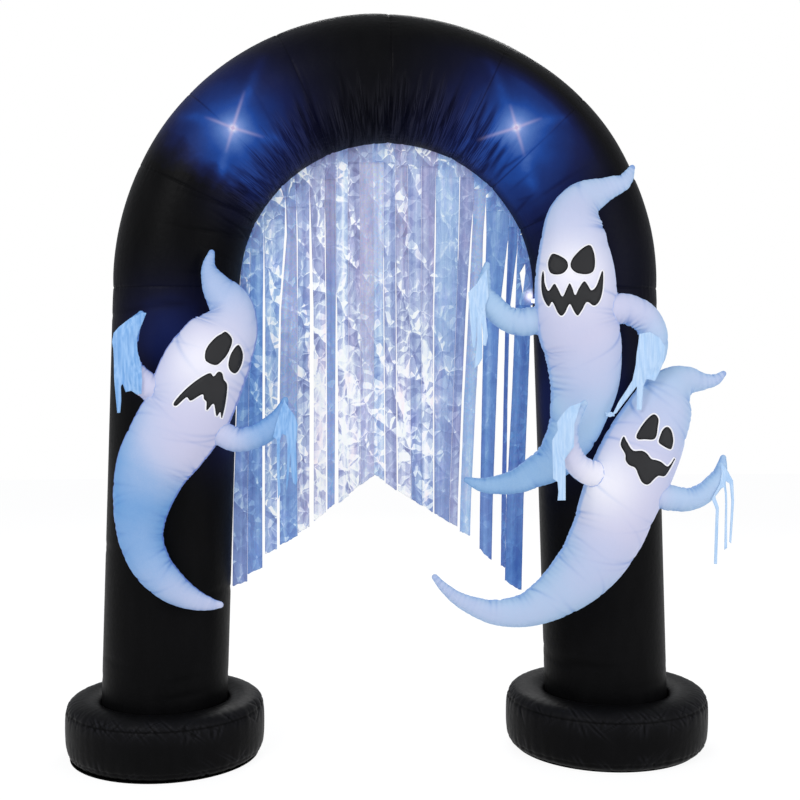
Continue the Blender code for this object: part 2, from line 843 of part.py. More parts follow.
def globe_mesh(name):
    return cylinder_mesh(name, lamp_globe_radius, lamp_globe_length, lamp_globe_sides,
                         lamp_globe_radius * lamp_tip_share)


def add_ghost_lamp(name, x, z):
    """Lamp on a bar across the air collar."""
    bore = (ghost_port_radius - collar_wall) * flat_ratio - lamp_seat_gap
    plane = back_plane - ghost_port_reach * lamp_place_share
    bar = box_mesh(name + "_lamp", (2 * bore, bar_thickness, bar_width))
    lamp = add(name + "_lamp", bar, "clear_lens", (x, plane, z))
    post = globe_mesh(name + "_lamp_post")
    place = (x, plane - lamp_globe_length / 2, z)
    boolean(lamp, add_cutter(name + "_lamp_post", post, place, along((0, -1, 0))), "UNION")


def add_crown_lamp(name, turn):
    """Lamp in a pocket on the front inner face of the crown."""
    radius = leg_radius + crown_swell * math.sin(turn)
    plane = -(radius * flat_ratio - skin_wall - lamp_seat_gap)
    x = spring_half_spacing * math.cos(turn)
    z = spring_height + spring_half_spacing * math.sin(turn)
    puck = cylinder_mesh(name, lamp_base_radius, lamp_base_thickness, small_round_sides)
    lamp = add(name, puck, "clear_lens", (x, plane + lamp_base_thickness / 2, z), along((0, 1, 0)))
    globe = globe_mesh(name + "_globe")
    place = (x, plane + (lamp_globe_length + lamp_base_thickness) / 2, z)
    boolean(lamp, add_cutter(name + "_globe", globe, place, along((0, 1, 0))), "UNION")


for ghost_name, ghost_table in ghost_share_tables.items():
    add_ghost(ghost_name, ghost_table)
add_crown_lamp("left_crown_lamp", left_lamp_angle)
add_crown_lamp("right_crown_lamp", right_lamp_angle)


def add_spotlight():
    height = spring_height - spotlight_drop
    flat = leg_centre(height) - leg_radius * flat_ratio
    body = cylinder_mesh("curtain_spotlight", spotlight_radius, spotlight_length,
                         small_round_sides, spotlight_radius * spotlight_tip_share)
    place = (flat - lamp_seat_gap - spotlight_length / 2, -spotlight_side, height)
    add("curtain_spotlight", body, "clear_lens", place, along((-1, 0, 0)))


def add_tie():
    """Small sewn strap that ties the upper ghost's side to the lower ghost's hood."""
    port_x, port_z = port_place(ghost_share_tables["lower_ghost"])
    strap = box_mesh("ghost_tie_strap", (tie_width, tie_thickness, tie_width / 2))
    across, ahead, up = (share * ghost_size for share in tie_place_shares)
    place = (port_x + across, back_plane - ahead, port_z + up)
    add("ghost_tie_strap", strap, "blue_nylon", place)


add_spotlight()
add_tie()


# Blower
def ring_outline(radius, start, end, count):
    return [
        (radius * math.cos(start + (end - start) * k / count),
         radius * math.sin(start + (end - start) * k / count))
        for k in range(count + 1)
    ]


def circle_outline(radius, count):
    return ring_outline(radius, 0, 2 * math.pi, count)[:-1]


def add_blower():
    centre = (base_centre, 0, fan_height)
    inner_y = base_back_flat - fan_inside
    collar_outer = (fan_outer_radius + port_clearance) / fan_flat_ratio + fan_collar_wall
    collar_start = base_back_flat - fan_inside + collar_lap
    collar_length = base_back_flat + fan_collar_out - collar_start
    hole_radius = (collar_outer + port_clearance) / fan_flat_ratio
    hole = cylinder_mesh("fan_hole", hole_radius, 4 * fan_inside, fan_sides)
    boolean(base_rings["right"],
            add_cutter("fan_hole", hole, (base_centre, base_back_flat, fan_height),
                       along((0, 1, 0))))
    collar = tube_mesh("fan_collar", collar_outer, fan_collar_wall, collar_length, fan_sides)
    add("fan_collar", smooth(collar), "black_nylon", (base_centre, collar_start, fan_height),
        along((0, 1, 0)))
    profile = [
        (fan_bore_radius, fan_back), (fan_rim_radius, fan_back),
        (fan_rim_radius, fan_back - fan_rim_thickness),
        (fan_outer_radius, fan_back - 2 * fan_rim_thickness), (fan_outer_radius, inner_y),
        (fan_bore_radius, inner_y), (fan_bore_radius, fan_back),
    ]
    turned("fan_housing", profile, fan_sides, "black_plastic", centre, (-math.pi / 2, 0, 0))
    add_inlet()
    add_grille()
    add_motor()


def add_inlet():
    """Moulded power inlet on the side of the fan housing, with its socket open."""
    y = fan_back - 2 * fan_rim_thickness - inlet_length / 2 - port_clearance
    z = fan_height + fan_outer_radius + port_clearance + inlet_height / 2
    body = box_mesh("power_inlet", (inlet_width, inlet_length, inlet_height))
    inlet = add("power_inlet", body, "black_plastic", (base_centre, y, z))
    socket = cylinder_mesh("inlet_socket", inlet_pin_radius, inlet_length, small_round_sides)
    boolean(inlet, add_cutter("inlet_socket", socket, (base_centre + inlet_width / 2, y, z),
                              along((1, 0, 0))))


def add_grille():
    """Guard over the intake: rings of slots round a solid hub that carries the motor."""
    slots = []
    span = (fan_bore_radius - grille_rib - grille_hub_radius) / grille_bands
    half = math.pi / grille_slots
    for band in range(grille_bands):
        low = grille_hub_radius + grille_rib / 2 + band * span
        high = low + span - grille_rib / 2
        trim = grille_rib / 2 / low
        for k in range(grille_slots):
            middle = 2 * half * k + (half if band % 2 else 0)
            start, end = middle - half + trim, middle + half - trim
            slots.append(ring_outline(high, start, end, grille_arc_steps)
                         + ring_outline(low, end, start, grille_arc_steps))
    rim = circle_outline(fan_rim_radius, fan_sides)
    plate = outline_mesh("fan_grille", [rim] + slots, grille_thickness)
    y = fan_back + port_clearance + grille_thickness / 2
    add("fan_grille", plate, "black_plastic", (base_centre, y, fan_height))


def add_motor():
    """Motor on the grille's hub, its shaft pointing into the base, and the impeller on it."""
    motor = cylinder_mesh("fan_motor", motor_radius, motor_length, small_round_sides)
    motor_y = fan_back - motor_length / 2
    body = add("fan_motor", motor, "grey_plastic", (base_centre, motor_y, fan_height),
               along((0, -1, 0)))
    tip = fan_back - motor_length
    shaft = cylinder_mesh("motor_shaft", shaft_radius, 2 * shaft_length, small_round_sides)
    boolean(body, add_cutter("motor_shaft", shaft, (base_centre, tip, fan_height),
                             along((0, 1, 0))), "UNION")
    hub_y = tip - hub_clearance - hub_length / 2
    hub = cylinder_mesh("fan_impeller", hub_radius, hub_length, small_round_sides)
    impeller = add("fan_impeller", hub, "grey_plastic", (base_centre, hub_y, fan_height),
                   along((0, 1, 0)))
    reach = fan_bore_radius * fan_flat_ratio - blade_tip_clearance
    start = hub_radius - blade_root_sink
    for k in range(blade_count):
        name = "impeller_blade_%d" % k
        turn = 2 * math.pi * k / blade_count
        blade = box_mesh(name, (blade_chord, blade_thickness, reach - start))
        place = Vector((0, 0, (reach + start) / 2))
        spin = Matrix.Rotation(turn, 4, "Y")
        pitch = Matrix.Rotation(blade_pitch, 4, "Z")
        blade.transform(spin @ Matrix.Translation(place) @ pitch)
        boolean(impeller, add_cutter(name, blade, (base_centre, hub_y, fan_height)), "UNION")
    bore_radius = (shaft_radius + shaft_clearance) / math.cos(math.pi / small_round_sides)
    bore = cylinder_mesh("impeller_bore", bore_radius, 2 * (shaft_length + shaft_clearance),
                         small_round_sides)
    boolean(impeller, add_cutter("impeller_bore", bore, (base_centre, tip, fan_height),
                                 along((0, 1, 0))))


add_blower()


# Zipped vent
def add_zip():
    lean = math.atan2(leg_centre(zip_low) - leg_centre(zip_high), zip_high - zip_low)
    middle = (zip_low + zip_high) / 2
    length = (zip_high - zip_low) / math.cos(lean)
    flat = leg_radius * flat_ratio
    turn = (0, lean, 0)
    centre_x = -leg_centre(middle)
    tape_y = flat + seam_gap + zip_tape_thickness / 2
    slot = box_mesh("vent_slot", (vent_slot_width, leg_radius, length - 2 * vent_slot_margin))
    boolean(leg_skins["left"], add_cutter("vent_slot", slot, (centre_x, flat, middle), turn))
    tape = add("zipper_tape", box_mesh("zipper_tape", (zip_tape_width, zip_tape_thickness, length)),
               "webbing", (centre_x, tape_y, middle), turn)
    chain_y = tape_y + zip_tape_thickness / 2 + zip_chain_height / 2 - seam_gap
    chain = box_mesh("zipper_chain", (zip_chain_width, zip_chain_height + seam_gap, length))
    boolean(tape, add_cutter("zipper_chain", chain, (centre_x, chain_y, middle), turn), "UNION")
    add_slider(lean, tape_y + zip_tape_thickness / 2)


def add_slider(lean, tape_face):
    """Slider over the chain with a staple on its back, and the pull that hangs in the staple."""
    place_z = zip_high - slider_end_margin - slider_length / 2
    place_x = -leg_centre(place_z)
    depth = zip_chain_height + slider_top
    body_y = tape_face + slider_clearance + depth / 2
    turn = (0, lean, 0)
    slider = add("zipper_slider", box_mesh("zipper_slider", (slider_width, depth, slider_length)),
                 "zinc", (place_x, body_y, place_z), turn)
    groove = box_mesh("slider_groove", (zip_chain_width + 2 * slider_clearance,
                                        2 * (zip_chain_height + slider_clearance),
                                        2 * slider_length))
    boolean(slider, add_cutter("slider_groove", groove, (place_x, tape_face, place_z), turn))
    back = body_y + depth / 2
    staple = box_mesh("slider_staple", (staple_width, staple_height + slider_clearance,
                                        staple_length))
    staple_y = back + (staple_height - slider_clearance) / 2
    boolean(slider, add_cutter("slider_staple", staple, (place_x, staple_y, place_z), turn), "UNION")
    eye = box_mesh("slider_eye", (2 * staple_width, staple_eye_height, staple_eye_length))
    eye_y = back + slider_clearance + staple_eye_height / 2
    boolean(slider, add_cutter("slider_eye", eye, (place_x, eye_y, place_z), turn))
    half = pull_width / 2
    top = pull_bar / 2
    window_low = -top - pull_window_length
    edge = [(-half, top), (-half, -pull_length), (half, -pull_length), (half, top)]
    side = pull_window_width / 2
    window = [(-side, -top), (side, -top), (side, window_low), (-side, window_low)]
    plate = outline_mesh("zipper_pull", [edge, window], pull_thickness)
    add("zipper_pull", plate, "zinc", (place_x, eye_y, place_z))


add_zip()


# Tabs
def add_tab(name, outline, eye_x, place):
    """Webbing tab with a round eye, cut flat and then set in place."""
    eye = [(x + eye_x, z) for x, z in circle_outline(tab_eye_radius, small_round_sides)]
    tab = outline_mesh(name, [outline, eye], tab_thickness)
    tab.transform(place)
    add(name, tab, "webbing")


def add_tabs():
    for name, side in (("left", -1), ("right", 1)):
        half = tab_length / 2
        edge = [(-half, -tab_width / 2), (half, -tab_width / 2),
                (half, tab_width / 2), (-half, tab_width / 2)]
        angle = math.pi / 2 - side * (math.pi / 2 - tab_angle)
        away = base_foot_radius * flat_ratio + seam_gap + half
        place = Matrix.Translation((side * base_centre + away * math.cos(angle),
                                    away * math.sin(angle), tab_thickness / 2))
        lie_flat = Matrix.Rotation(angle, 4, "Z") @ Matrix.Rotation(-math.pi / 2, 4, "X")
        add_tab(name + "_stake_tab", edge, 0, place @ lie_flat)
        turn = math.pi / 2 - side * (math.pi / 2 - tether_angle)
        radius = leg_radius + crown_swell * math.sin(turn)
        reach = tether_reach / 2
        tall = tether_height / 2
        edge = [(-reach, -tall), (reach, -tall / 2), (reach, tall / 2), (-reach, tall)]
        back = radius * flat_ratio + lamp_seat_gap + reach
        place = Matrix.Translation((spring_half_spacing * math.cos(turn), back,
                                    spring_height + spring_half_spacing * math.sin(turn)))
        stand = Matrix.Rotation(math.pi / 2, 4, "Z")
        add_tab(name + "_tether_tab", edge, reach * tether_eye_share, place @ stand)


add_tabs()


def centre_depth():
    """Moves the whole arch so that the origin is half way from its foremost cloth to the grille."""
    cloth = bpy.data.objects[foremost_cloth]
    front = min((cloth.matrix_world @ corner.co).y for corner in evaluated(cloth).vertices)
    arch_root.location = (0, -(front + rear_reach) / 2, 0)
    bpy.context.view_layer.update()


centre_depth()
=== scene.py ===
import math
import random

import bpy
import numpy as np
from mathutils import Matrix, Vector
from mathutils.bvhtree import BVHTree
from mathutils.geometry import delaunay_2d_cdt


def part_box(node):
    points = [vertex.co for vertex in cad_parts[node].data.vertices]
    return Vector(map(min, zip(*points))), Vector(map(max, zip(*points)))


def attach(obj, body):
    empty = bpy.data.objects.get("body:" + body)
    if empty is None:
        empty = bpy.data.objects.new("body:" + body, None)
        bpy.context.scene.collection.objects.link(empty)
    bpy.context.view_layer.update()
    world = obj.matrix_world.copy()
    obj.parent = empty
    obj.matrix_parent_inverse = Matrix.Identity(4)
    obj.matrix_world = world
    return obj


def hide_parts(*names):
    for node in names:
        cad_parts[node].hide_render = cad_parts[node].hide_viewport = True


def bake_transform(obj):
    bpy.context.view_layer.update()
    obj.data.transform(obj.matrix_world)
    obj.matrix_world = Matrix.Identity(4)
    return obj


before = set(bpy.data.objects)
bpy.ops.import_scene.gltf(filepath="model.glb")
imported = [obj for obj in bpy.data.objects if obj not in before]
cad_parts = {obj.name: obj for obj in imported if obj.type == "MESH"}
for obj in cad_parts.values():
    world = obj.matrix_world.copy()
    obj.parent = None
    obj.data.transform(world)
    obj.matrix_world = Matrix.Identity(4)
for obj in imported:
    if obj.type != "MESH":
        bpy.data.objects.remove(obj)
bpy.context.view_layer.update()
archY = sum(corner.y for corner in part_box("crown_skin")) / 2        # plane of the arch
print("frame loaded:", len(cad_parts), "nodes")


# Arch sizes
arch = {
    "springHeight": 1.730, "springHalf": 0.776, "splay": 0.066, "legRadius": 0.2305, "crownSwell": 0.011,
    "footHeight": 0.006, "around": 150, "crownStep": 0.0048, "legStep": 0.010,
    "seams": (0, 24, 44, 64, 90, 114, 136, 154, 180),        # degrees round the crown from the right
    "grooveDepth": 0.0022, "grooveWidth": 0.0040, "pullDepth": 0.0010, "pullWidth": 0.030,
    # how much flatter the crown is along its outer side: degrees, metres
    "outerTrim": ((0, 0), (12, 0), (24, 0.005), (36, 0.004), (48, 0.012), (60, 0.021), (72, 0.023), (84, 0.021),
                  (96, 0.013), (108, 0.012), (120, 0.009), (132, 0.006), (144, 0.004), (156, 0.005),
                  (168, 0.003), (180, 0)),
    "puckerDepth": 0.0020, "puckerReach": 0.026, "sagDepth": 0.0022, "seamWidth": 0.0028, "darkDepth": 0.004,
    # folds round the crown: from and to in degrees, how many, how deep
    "innerFolds": ((50, 74, 26, 0.0050), (74, 118, 54, 0.0050), (112, 150, 44, 0.0030), (146, 166, 26, 0.0046),
                   (14, 50, 26, 0.0030), (166, 178, 6, 0.003)),
    "legFolds": 46, "legFoldHeights": ((0.24, 0.40), (1.60, 1.73), (0.3, 1.6)),
    # each fold's width and reach in metres and radians, its slant, and its share of the depth or the depth
    "innerPress": ((0.0045, 0.0075), (0.16, 0.48), (-0.05, 0.05), (0.35, 1.0)),
    "legPress": ((0.008, 0.013), (0.2, 0.55), (-0.03, 0.03), (0.0012, 0.0030)),
    "tautFolds": 0.075, "tautCreases": 0.12,        # round the crown's lamps
}


# Materials
def mathsOf(operation, swapped=False):        # a method of Wire that adds one Math node
    def method(wire, *others):
        values = (wire, *others)
        return wire.maths(operation, *(values[::-1] if swapped else values))
    return method


class Wire:
    def __init__(self, paint, socket):
        self.paint, self.socket = paint, socket

    def maths(self, operation, *values, clamp=False):
        return self.paint.add("ShaderNodeMath", {"operation": operation, "use_clamp": clamp}, *values)

    def limited(self):
        return self.maths("ADD", self, 0, clamp=True)

    __add__ = __radd__ = mathsOf("ADD")
    __mul__ = __rmul__ = mathsOf("MULTIPLY")
    __sub__, __rsub__ = mathsOf("SUBTRACT"), mathsOf("SUBTRACT", swapped=True)
    __pow__, exp, size = mathsOf("POWER"), mathsOf("EXPONENT"), mathsOf("ABSOLUTE")
    atLeast, sine, arcTangent = mathsOf("MAXIMUM"), mathsOf("SINE"), mathsOf("ARCTAN2")


class Paint:        # a material, or a world, and its nodes
    def __init__(self, name, fixed, blocks=bpy.data.materials, shader="Principled BSDF"):
        self.material = blocks.new(name)
        self.material.use_nodes = True
        self.nodes = self.material.node_tree.nodes
        self.links = self.material.node_tree.links
        self.shader = self.nodes[shader]
        for socket, value in fixed.items():
            self.shader.inputs[socket].default_value = value

    def add(self, kind, settings, *values, out=0, **named):
        node = self.nodes.new(kind)
        for key, value in settings.items():
            if key == "stops":
                ramp = node.color_ramp.elements
                while len(ramp) < len(value):
                    ramp.new(0.5)
                for stop, (place, colour) in zip(ramp, value):
                    stop.position = place
                    stop.color = (*colour, 1)
            else:
                setattr(node, key, value)
        for key, value in [*enumerate(values), *named.items()]:
            if isinstance(value, Wire):
                self.links.new(value.socket, node.inputs[key])
            elif value is not None:
                node.inputs[key].default_value = value
        return Wire(self, node.outputs[out])

    def place(self):        # the object's own coordinates are the row frame at rest
        return self.add("ShaderNodeTexCoord", {}, out="Object")

    def attribute(self, name):
        return self.add("ShaderNodeAttribute", {"attribute_name": name}, out="Fac")

    def stretched(self, vector, amounts):
        return self.add("ShaderNodeVectorMath", {"operation": "MULTIPLY"}, vector, amounts)

    def moved(self, vector, other):
        return self.add("ShaderNodeVectorMath", {"operation": "ADD"}, vector, other)

    def join(self, x, y, z):
        return self.add("ShaderNodeCombineXYZ", {}, x, y, z)

    def parts(self, vector):
        node = self.add("ShaderNodeSeparateXYZ", {}, vector).socket.node
        return [Wire(self, socket) for socket in node.outputs]

    def noise(self, vector, scale, detail=2.0, roughness=0.5, out="Fac"):
        return self.add("ShaderNodeTexNoise", {}, Vector=vector, Scale=scale, Detail=detail,
                        Roughness=roughness, out=out)

    def cells(self, vector, scale, feature="F1"):
        return self.add("ShaderNodeTexVoronoi", {"feature": feature}, Vector=vector, Scale=scale,
                        out="Distance")

    def ramp(self, value, *stops):
        return self.add("ShaderNodeValToRGB", {"stops": stops}, value, out="Color")

    def mix(self, factor, one, two, mode="MIX"):        # the two colours are the node's inputs 6 and 7
        one, two = [(*value, 1) if isinstance(value, tuple) else value for value in (one, two)]
        unused = [None] * 5
        return self.add("ShaderNodeMix", {"data_type": "RGBA", "blend_type": mode}, factor, *unused, one, two,
                        out=2)

    def bump(self, height, strength, distance, under=None):
        return self.add("ShaderNodeBump", {}, Height=height, Strength=strength, Distance=distance,
                        Normal=under, out="Normal")

    def feed(self, **sockets):
        for key, wire in sockets.items():
            name = {"baseColor": "Base Color", "emission": "Emission Color"}.get(key, key.capitalize())
            self.links.new(wire.socket, self.shader.inputs[name])
        return self

    def lightThrough(self, tint, base, glow):        # lit cloth: its colour both reflects and shines
        self.feed(baseColor=self.mix(1.0, tint, base, "MULTIPLY"),
                  emission=self.mix(1.0, tint, glow, "MULTIPLY"))


def glow(x, z, cx, cz, radius):        # round soft light, 1 in the middle
    dx, dz = x - cx, z - cz
    return ((dx * dx + dz * dz) * (-1 / radius ** 2)).exp()


def ray(x, z, start, end, width, hold):        # light that runs out from a star's middle
    length = math.dist(start, end)
    ax, az = (end[0] - start[0]) / length, (end[1] - start[1]) / length
    dx, dz = x - start[0], z - start[1]
    along = dx * ax + dz * az
    aside = dx * az - dz * ax
    fade = ((1 - along * (1 / length)) * hold).limited()
    ahead = (along * 400 + 1).limited()
    return (aside * aside * (-1 / width ** 2)).exp() * fade * ahead


starLights = {
    "stars": (
        {"middle": (-0.554, 2.279),
         "lines": ((-0.511, 2.415), (-0.657, 2.322), (-0.442, 2.249), (-0.580, 2.190)),
         "tips": ((-0.440, 2.560), (-0.790, 2.350), (-0.640, 1.985), (-0.318, 2.220))},
        {"middle": (0.443, 2.292),
         "lines": ((0.417, 2.376), (0.538, 2.327), (0.307, 2.254), (0.478, 2.191)),
         "tips": ((0.325, 2.575), (0.690, 2.350), (0.190, 2.224), (0.540, 2.015))},
    ),
    # lift, radius and share of each halo round a star
    "halos": ((-0.02, 0.245, 0.43), (0, 0.060, 0.30), (0, 0.024, 0.15), (0, 0.010, 0.25)),
    "rayShare": 0.12, "rayWidth": 0.020, "rayHole": 0.10, "lineShare": 0.62, "lineWidth": 0.0056,
    "tautRadius": 0.13,
    # fainter lights elsewhere in the skin: x, z, radius, share
    "navy": ((-0.792, 1.577, 0.15, 0.20), (-0.556, 1.186, 0.12, 0.14), (0.700, 1.750, 0.22, 0.08),
             (0.720, 1.42, 0.16, 0.14), (0.590, 1.25, 0.20, 0.13), (0.48, 2.02, 0.20, 0.09),
             (0.10, 2.22, 0.16, 0.04), (-0.53, 2.05, 0.10, 0.10), (0.561, 1.704, 0.05, 0.2),
             (0.556, 1.704, 0.014, 0.9)),
    "leftEnd": 152.0, "rightEnd": 0.93,        # degrees round the crown, metres from its middle
    "foldsFrom": 48, "foldsTo": 158,        # tucks in the paint: degrees round the crown
}


def blackNylonPaint():
    paint = Paint("blackNylon", {"Roughness": 0.45, "Specular IOR Level": 0.04, "Emission Strength": 1.0})
    place = paint.place()
    x, y, z = paint.parts(place)
    cloud = paint.noise(place, 14, detail=3) - 0.5
    heat, thin, near = 0, 0, 0
    for star in starLights["stars"]:
        middle, rays = star["middle"], 0
        for tip in star["tips"]:
            rays = ray(x, z, middle, tip, starLights["rayWidth"], 2.0) + rays
        hole = 1 - glow(x, z, *middle, starLights["rayHole"])
        heat = rays * hole * (cloud + 0.85) * starLights["rayShare"] + heat
        for lift, radius, share in starLights["halos"]:
            heat = glow(x, z, middle[0], middle[1] + lift, radius) * share + heat
        for tip in star["lines"]:
            thin = ray(x, z, middle, tip, starLights["lineWidth"], 1.0) + thin
        near = glow(x, z, *middle, starLights["tautRadius"]) + near
    rise = z - arch["springHeight"]
    angle = rise.arcTangent(x) * (180 / math.pi)
    leftCut = ((starLights["leftEnd"] - angle) * 0.14 + cloud * 0.9).limited()
    outward = (x * x + rise * rise) ** 0.5
    rightCut = ((starLights["rightEnd"] - outward) * 14 + (x * -8).limited() * 2).limited()
    heat = heat * leftCut * rightCut
    for cx, cz, radius, share in starLights["navy"]:
        heat = glow(x, z, cx, cz, radius) * share + heat
    front = ((archY + 0.03 - y) * 9).limited()
    zone = ((angle - starLights["foldsFrom"]) * 0.12).limited()
    zone = zone * ((starLights["foldsTo"] - angle) * 0.12).limited()
    wander = paint.noise(paint.join(angle * 0.35, 0, y * 0.5), 1, detail=2)
    reach = wander * 0.34 + 0.565 + (angle - 80).size() * -0.0006
    zone = zone * ((reach - outward) * 10).limited() * (rise * 9).limited()
    spread = paint.join(angle * 1.25, outward * 5, y * 5)
    # tuck: the fine folds of the crown's inner half, drawn as painted shade in the glow and as bumps
    tuck = 0
    for shift, scale, sharp in (((0, 0, 0), 1, 13), ((40, 3, 1), 0.6, 22)):
        fold = paint.noise(paint.moved(spread, shift), scale, detail=2) - 0.5
        tuck = (1 - fold.size() * sharp).limited() * zone + tuck
    tuck = tuck.limited() * (1 - near * 0.75)
    # crease: painted shade in the folds and tucks, with darker lines along the seams; it dims the glow and
    # takes the base colour towards black
    crease = (paint.attribute("crease") * 0.7 + tuck * 0.8).limited()
    grain = paint.noise(place, 900, detail=1) * 0.24 + 0.88
    heat = heat * (1 - crease * 0.5) * (front * 0.9 + 0.1) * grain + cloud * heat * 0.25
    lit = paint.ramp(heat, (0.0, (0, 0, 0)), (0.08, (0.0020, 0.0026, 0.015)),
                     (0.20, (0.0045, 0.0095, 0.064)), (0.32, (0.0080, 0.029, 0.165)),
                     (0.42, (0.0110, 0.060, 0.31)), (0.58, (0.074, 0.165, 0.48)),
                     (0.78, (0.21, 0.31, 0.67)), (0.92, (0.52, 0.57, 0.84)), (1.0, (0.80, 0.80, 0.93)))
    lit = paint.mix((thin * front * starLights["lineShare"]).limited(), lit, (0.55, 0.46, 0.70))
    folds = paint.noise(paint.stretched(place, (3, 3, 1)), 7, detail=3)
    soft = paint.noise(place, 60, detail=3)
    weave = paint.noise(place, 1400, detail=1)
    grey = paint.mix(folds, (0.0016, 0.0016, 0.0018), (0.0042, 0.0042, 0.0046))
    # sheen: painted highlights on the fold ridges and between the crown's tucks
    sheen = paint.attribute("sheen") + zone * (1 - tuck) * 0.42
    grey = paint.mix(sheen.limited(), grey, (0.020, 0.020, 0.024))
    rough = paint.bump(soft * 0.4 + (1 - tuck), 0.55, 0.004)
    return paint.feed(emission=lit, roughness=soft * 0.16 + 0.38, normal=paint.bump(weave, 0.10, 0.0006, rough),
                      baseColor=paint.mix(crease, grey, (0.0006, 0.0006, 0.0008)))


def ghostPaint(name, blue, mid, rim):
    paint = Paint(name, {"Roughness": 0.55, "Specular IOR Level": 0.25, "Emission Strength": 1.0})
    place = paint.place()
    speckle = paint.noise(place, 420, detail=2, roughness=0.7)
    cloud = paint.noise(place, 9, detail=2)
    amount = (paint.attribute("spray") + (speckle - 0.5) * 0.35 + (cloud - 0.5) * 0.18).limited()
    tint = paint.ramp(amount, (0.0, (0.70, 0.69, 0.88)), (0.35, (0.60, 0.66, 0.88)), (0.7, mid), (1.0, blue))
    # shine: a painted pool of light from the lamp inside
    tint = paint.mix(paint.attribute("shine").limited(), tint, (1.16, 1.13, 1.14))
    # crease: painted shade, darker and bluer in the creases
    fold = paint.mix(paint.attribute("crease"), (1.0, 1.0, 1.0), (0.46, 0.60, 0.84))
    tint = paint.mix(1.0, tint, fold, "MULTIPLY")
    tint = paint.mix(paint.attribute("rim") * 0.75, tint, rim)
    paint.lightThrough(tint, (0.48, 0.48, 0.49), (0.32, 0.33, 0.35))
    soft = paint.noise(place, 45, detail=3)
    weave = paint.noise(place, 1300, detail=1)
    return paint.feed(normal=paint.bump(weave, 0.08, 0.0005, paint.bump(soft, 0.15, 0.003)))


def filmPaint():        # crushed film: the slopes of cells' edges, taken toward a light above, make painted light and shade on flat facets with sharp folds
    paint = Paint("crinkledFilm", {"Roughness": 0.3, "Metallic": 0.1, "Emission Strength": 1.0,
                                   "Specular IOR Level": 0.5})
    place = paint.place()
    tint, tone, crush, rainbow = [paint.attribute(name) for name in ("tint", "tone", "crush", "rainbow")]
    bends = paint.noise(place, 20, detail=2, out="Color")
    bent = paint.moved(place, paint.stretched(bends, (0.024, 0.02, 0.024)))
    masks = paint.parts(paint.noise(paint.moved(place, (3, 1, 7)), 16, detail=2, out="Color"))

    def folded(scale, amounts, offset, toward):
        spot = paint.stretched(paint.moved(bent, offset), amounts)
        edge = paint.cells(spot, scale, "DISTANCE_TO_EDGE")
        beside = paint.cells(paint.moved(spot, toward), scale, "DISTANCE_TO_EDGE")
        return edge, (beside - edge) * (1 / (0.001 * scale))

    bigEdge, big = folded(12, (1.0, 1.0, 0.52), (0, 0, 0), (0.0007, 0, 0.0007))
    midEdge, mid = folded(31, (1.0, 1.0, 0.55), (0.3, 0.1, 0.2), (-0.0004, 0, 0.0009))
    # foldShading: painted light and shade of fine vertical pleats
    foldShading = paint.noise(paint.stretched(place, (260, 260, 14)), 1, detail=2) - 0.5
    grain = paint.noise(paint.stretched(place, (420, 420, 260)), 1, detail=2) - 0.5
    local = crush * (((masks[0] - 0.5) * 2.6 + 0.85).limited())
    # slope, glint and lines are painted light: shade and highlights on the facets and bright lines along their
    # folds
    slope = big * 0.66 + mid * 0.50
    glint = (slope - 0.46).atLeast(0) * 1.7
    lines = (1 - bigEdge * 20).limited() * ((masks[1] - 0.48) * 9).limited()
    lines = (1 - midEdge * 16).limited() * ((masks[2] - 0.5) * 9).limited() * 0.8 + lines
    bright = tone + local * (slope * 0.56 + glint + lines * 0.40 + grain * 0.25)
    bright = bright + lines * crush * 0.14 + grain * 0.14 + foldShading * 0.24 + (masks[1] - 0.5) * 0.16
    silver = paint.ramp(bright, (0.0, (0.15, 0.16, 0.33)), (0.35, (0.30, 0.33, 0.57)),
                        (0.6, (0.52, 0.56, 0.77)), (0.8, (0.85, 0.88, 0.96)), (1.0, (1.0, 1.0, 1.0)))
    blue = paint.ramp(bright, (0.0, (0.04, 0.12, 0.43)), (0.35, (0.12, 0.29, 0.66)), (0.6, (0.30, 0.53, 0.83)),
                      (0.8, (0.64, 0.80, 0.95)), (1.0, (0.97, 0.99, 1.0)))
    colour = paint.mix(tint.limited(), silver, blue)
    hue = paint.noise(paint.stretched(place, (9, 9, 2.2)), 3.2, detail=2)
    shimmer = paint.ramp(hue, (0.30, (1.0, 0.86, 0.90)), (0.42, (1.0, 1.0, 1.0)), (0.56, (0.93, 1.0, 0.95)),
                         (0.63, (1.0, 1.0, 1.0)), (0.74, (0.90, 0.87, 1.0)))
    colour = paint.mix(0.6, colour, shimmer, "MULTIPLY")
    spots = paint.noise(paint.stretched(place, (1, 1, 0.6)), 170, detail=2, roughness=0.7)
    rays = paint.ramp(spots, (0.36, (0.45, 0.95, 1.0)), (0.45, (0.75, 0.70, 1.0)), (0.52, (1.0, 0.62, 0.80)),
                      (0.60, (1.0, 0.95, 0.55)), (0.68, (0.60, 1.0, 0.80)))
    colour = paint.mix(rainbow * (masks[1] + 0.3), colour, rays)
    x, y, z = paint.parts(place)
    # a painted glow of the spotlight's light on the film
    colour = paint.mix(glow(x, z, 0.535, 1.704, 0.016), colour, (1.7, 1.6, 1.8))
    paint.lightThrough(colour, (0.50, 0.50, 0.51), (0.46, 0.46, 0.47))
    return paint.feed(normal=paint.bump((bigEdge * 1.4 + midEdge * 0.6) * (crush + 0.1), 0.35, 0.006))


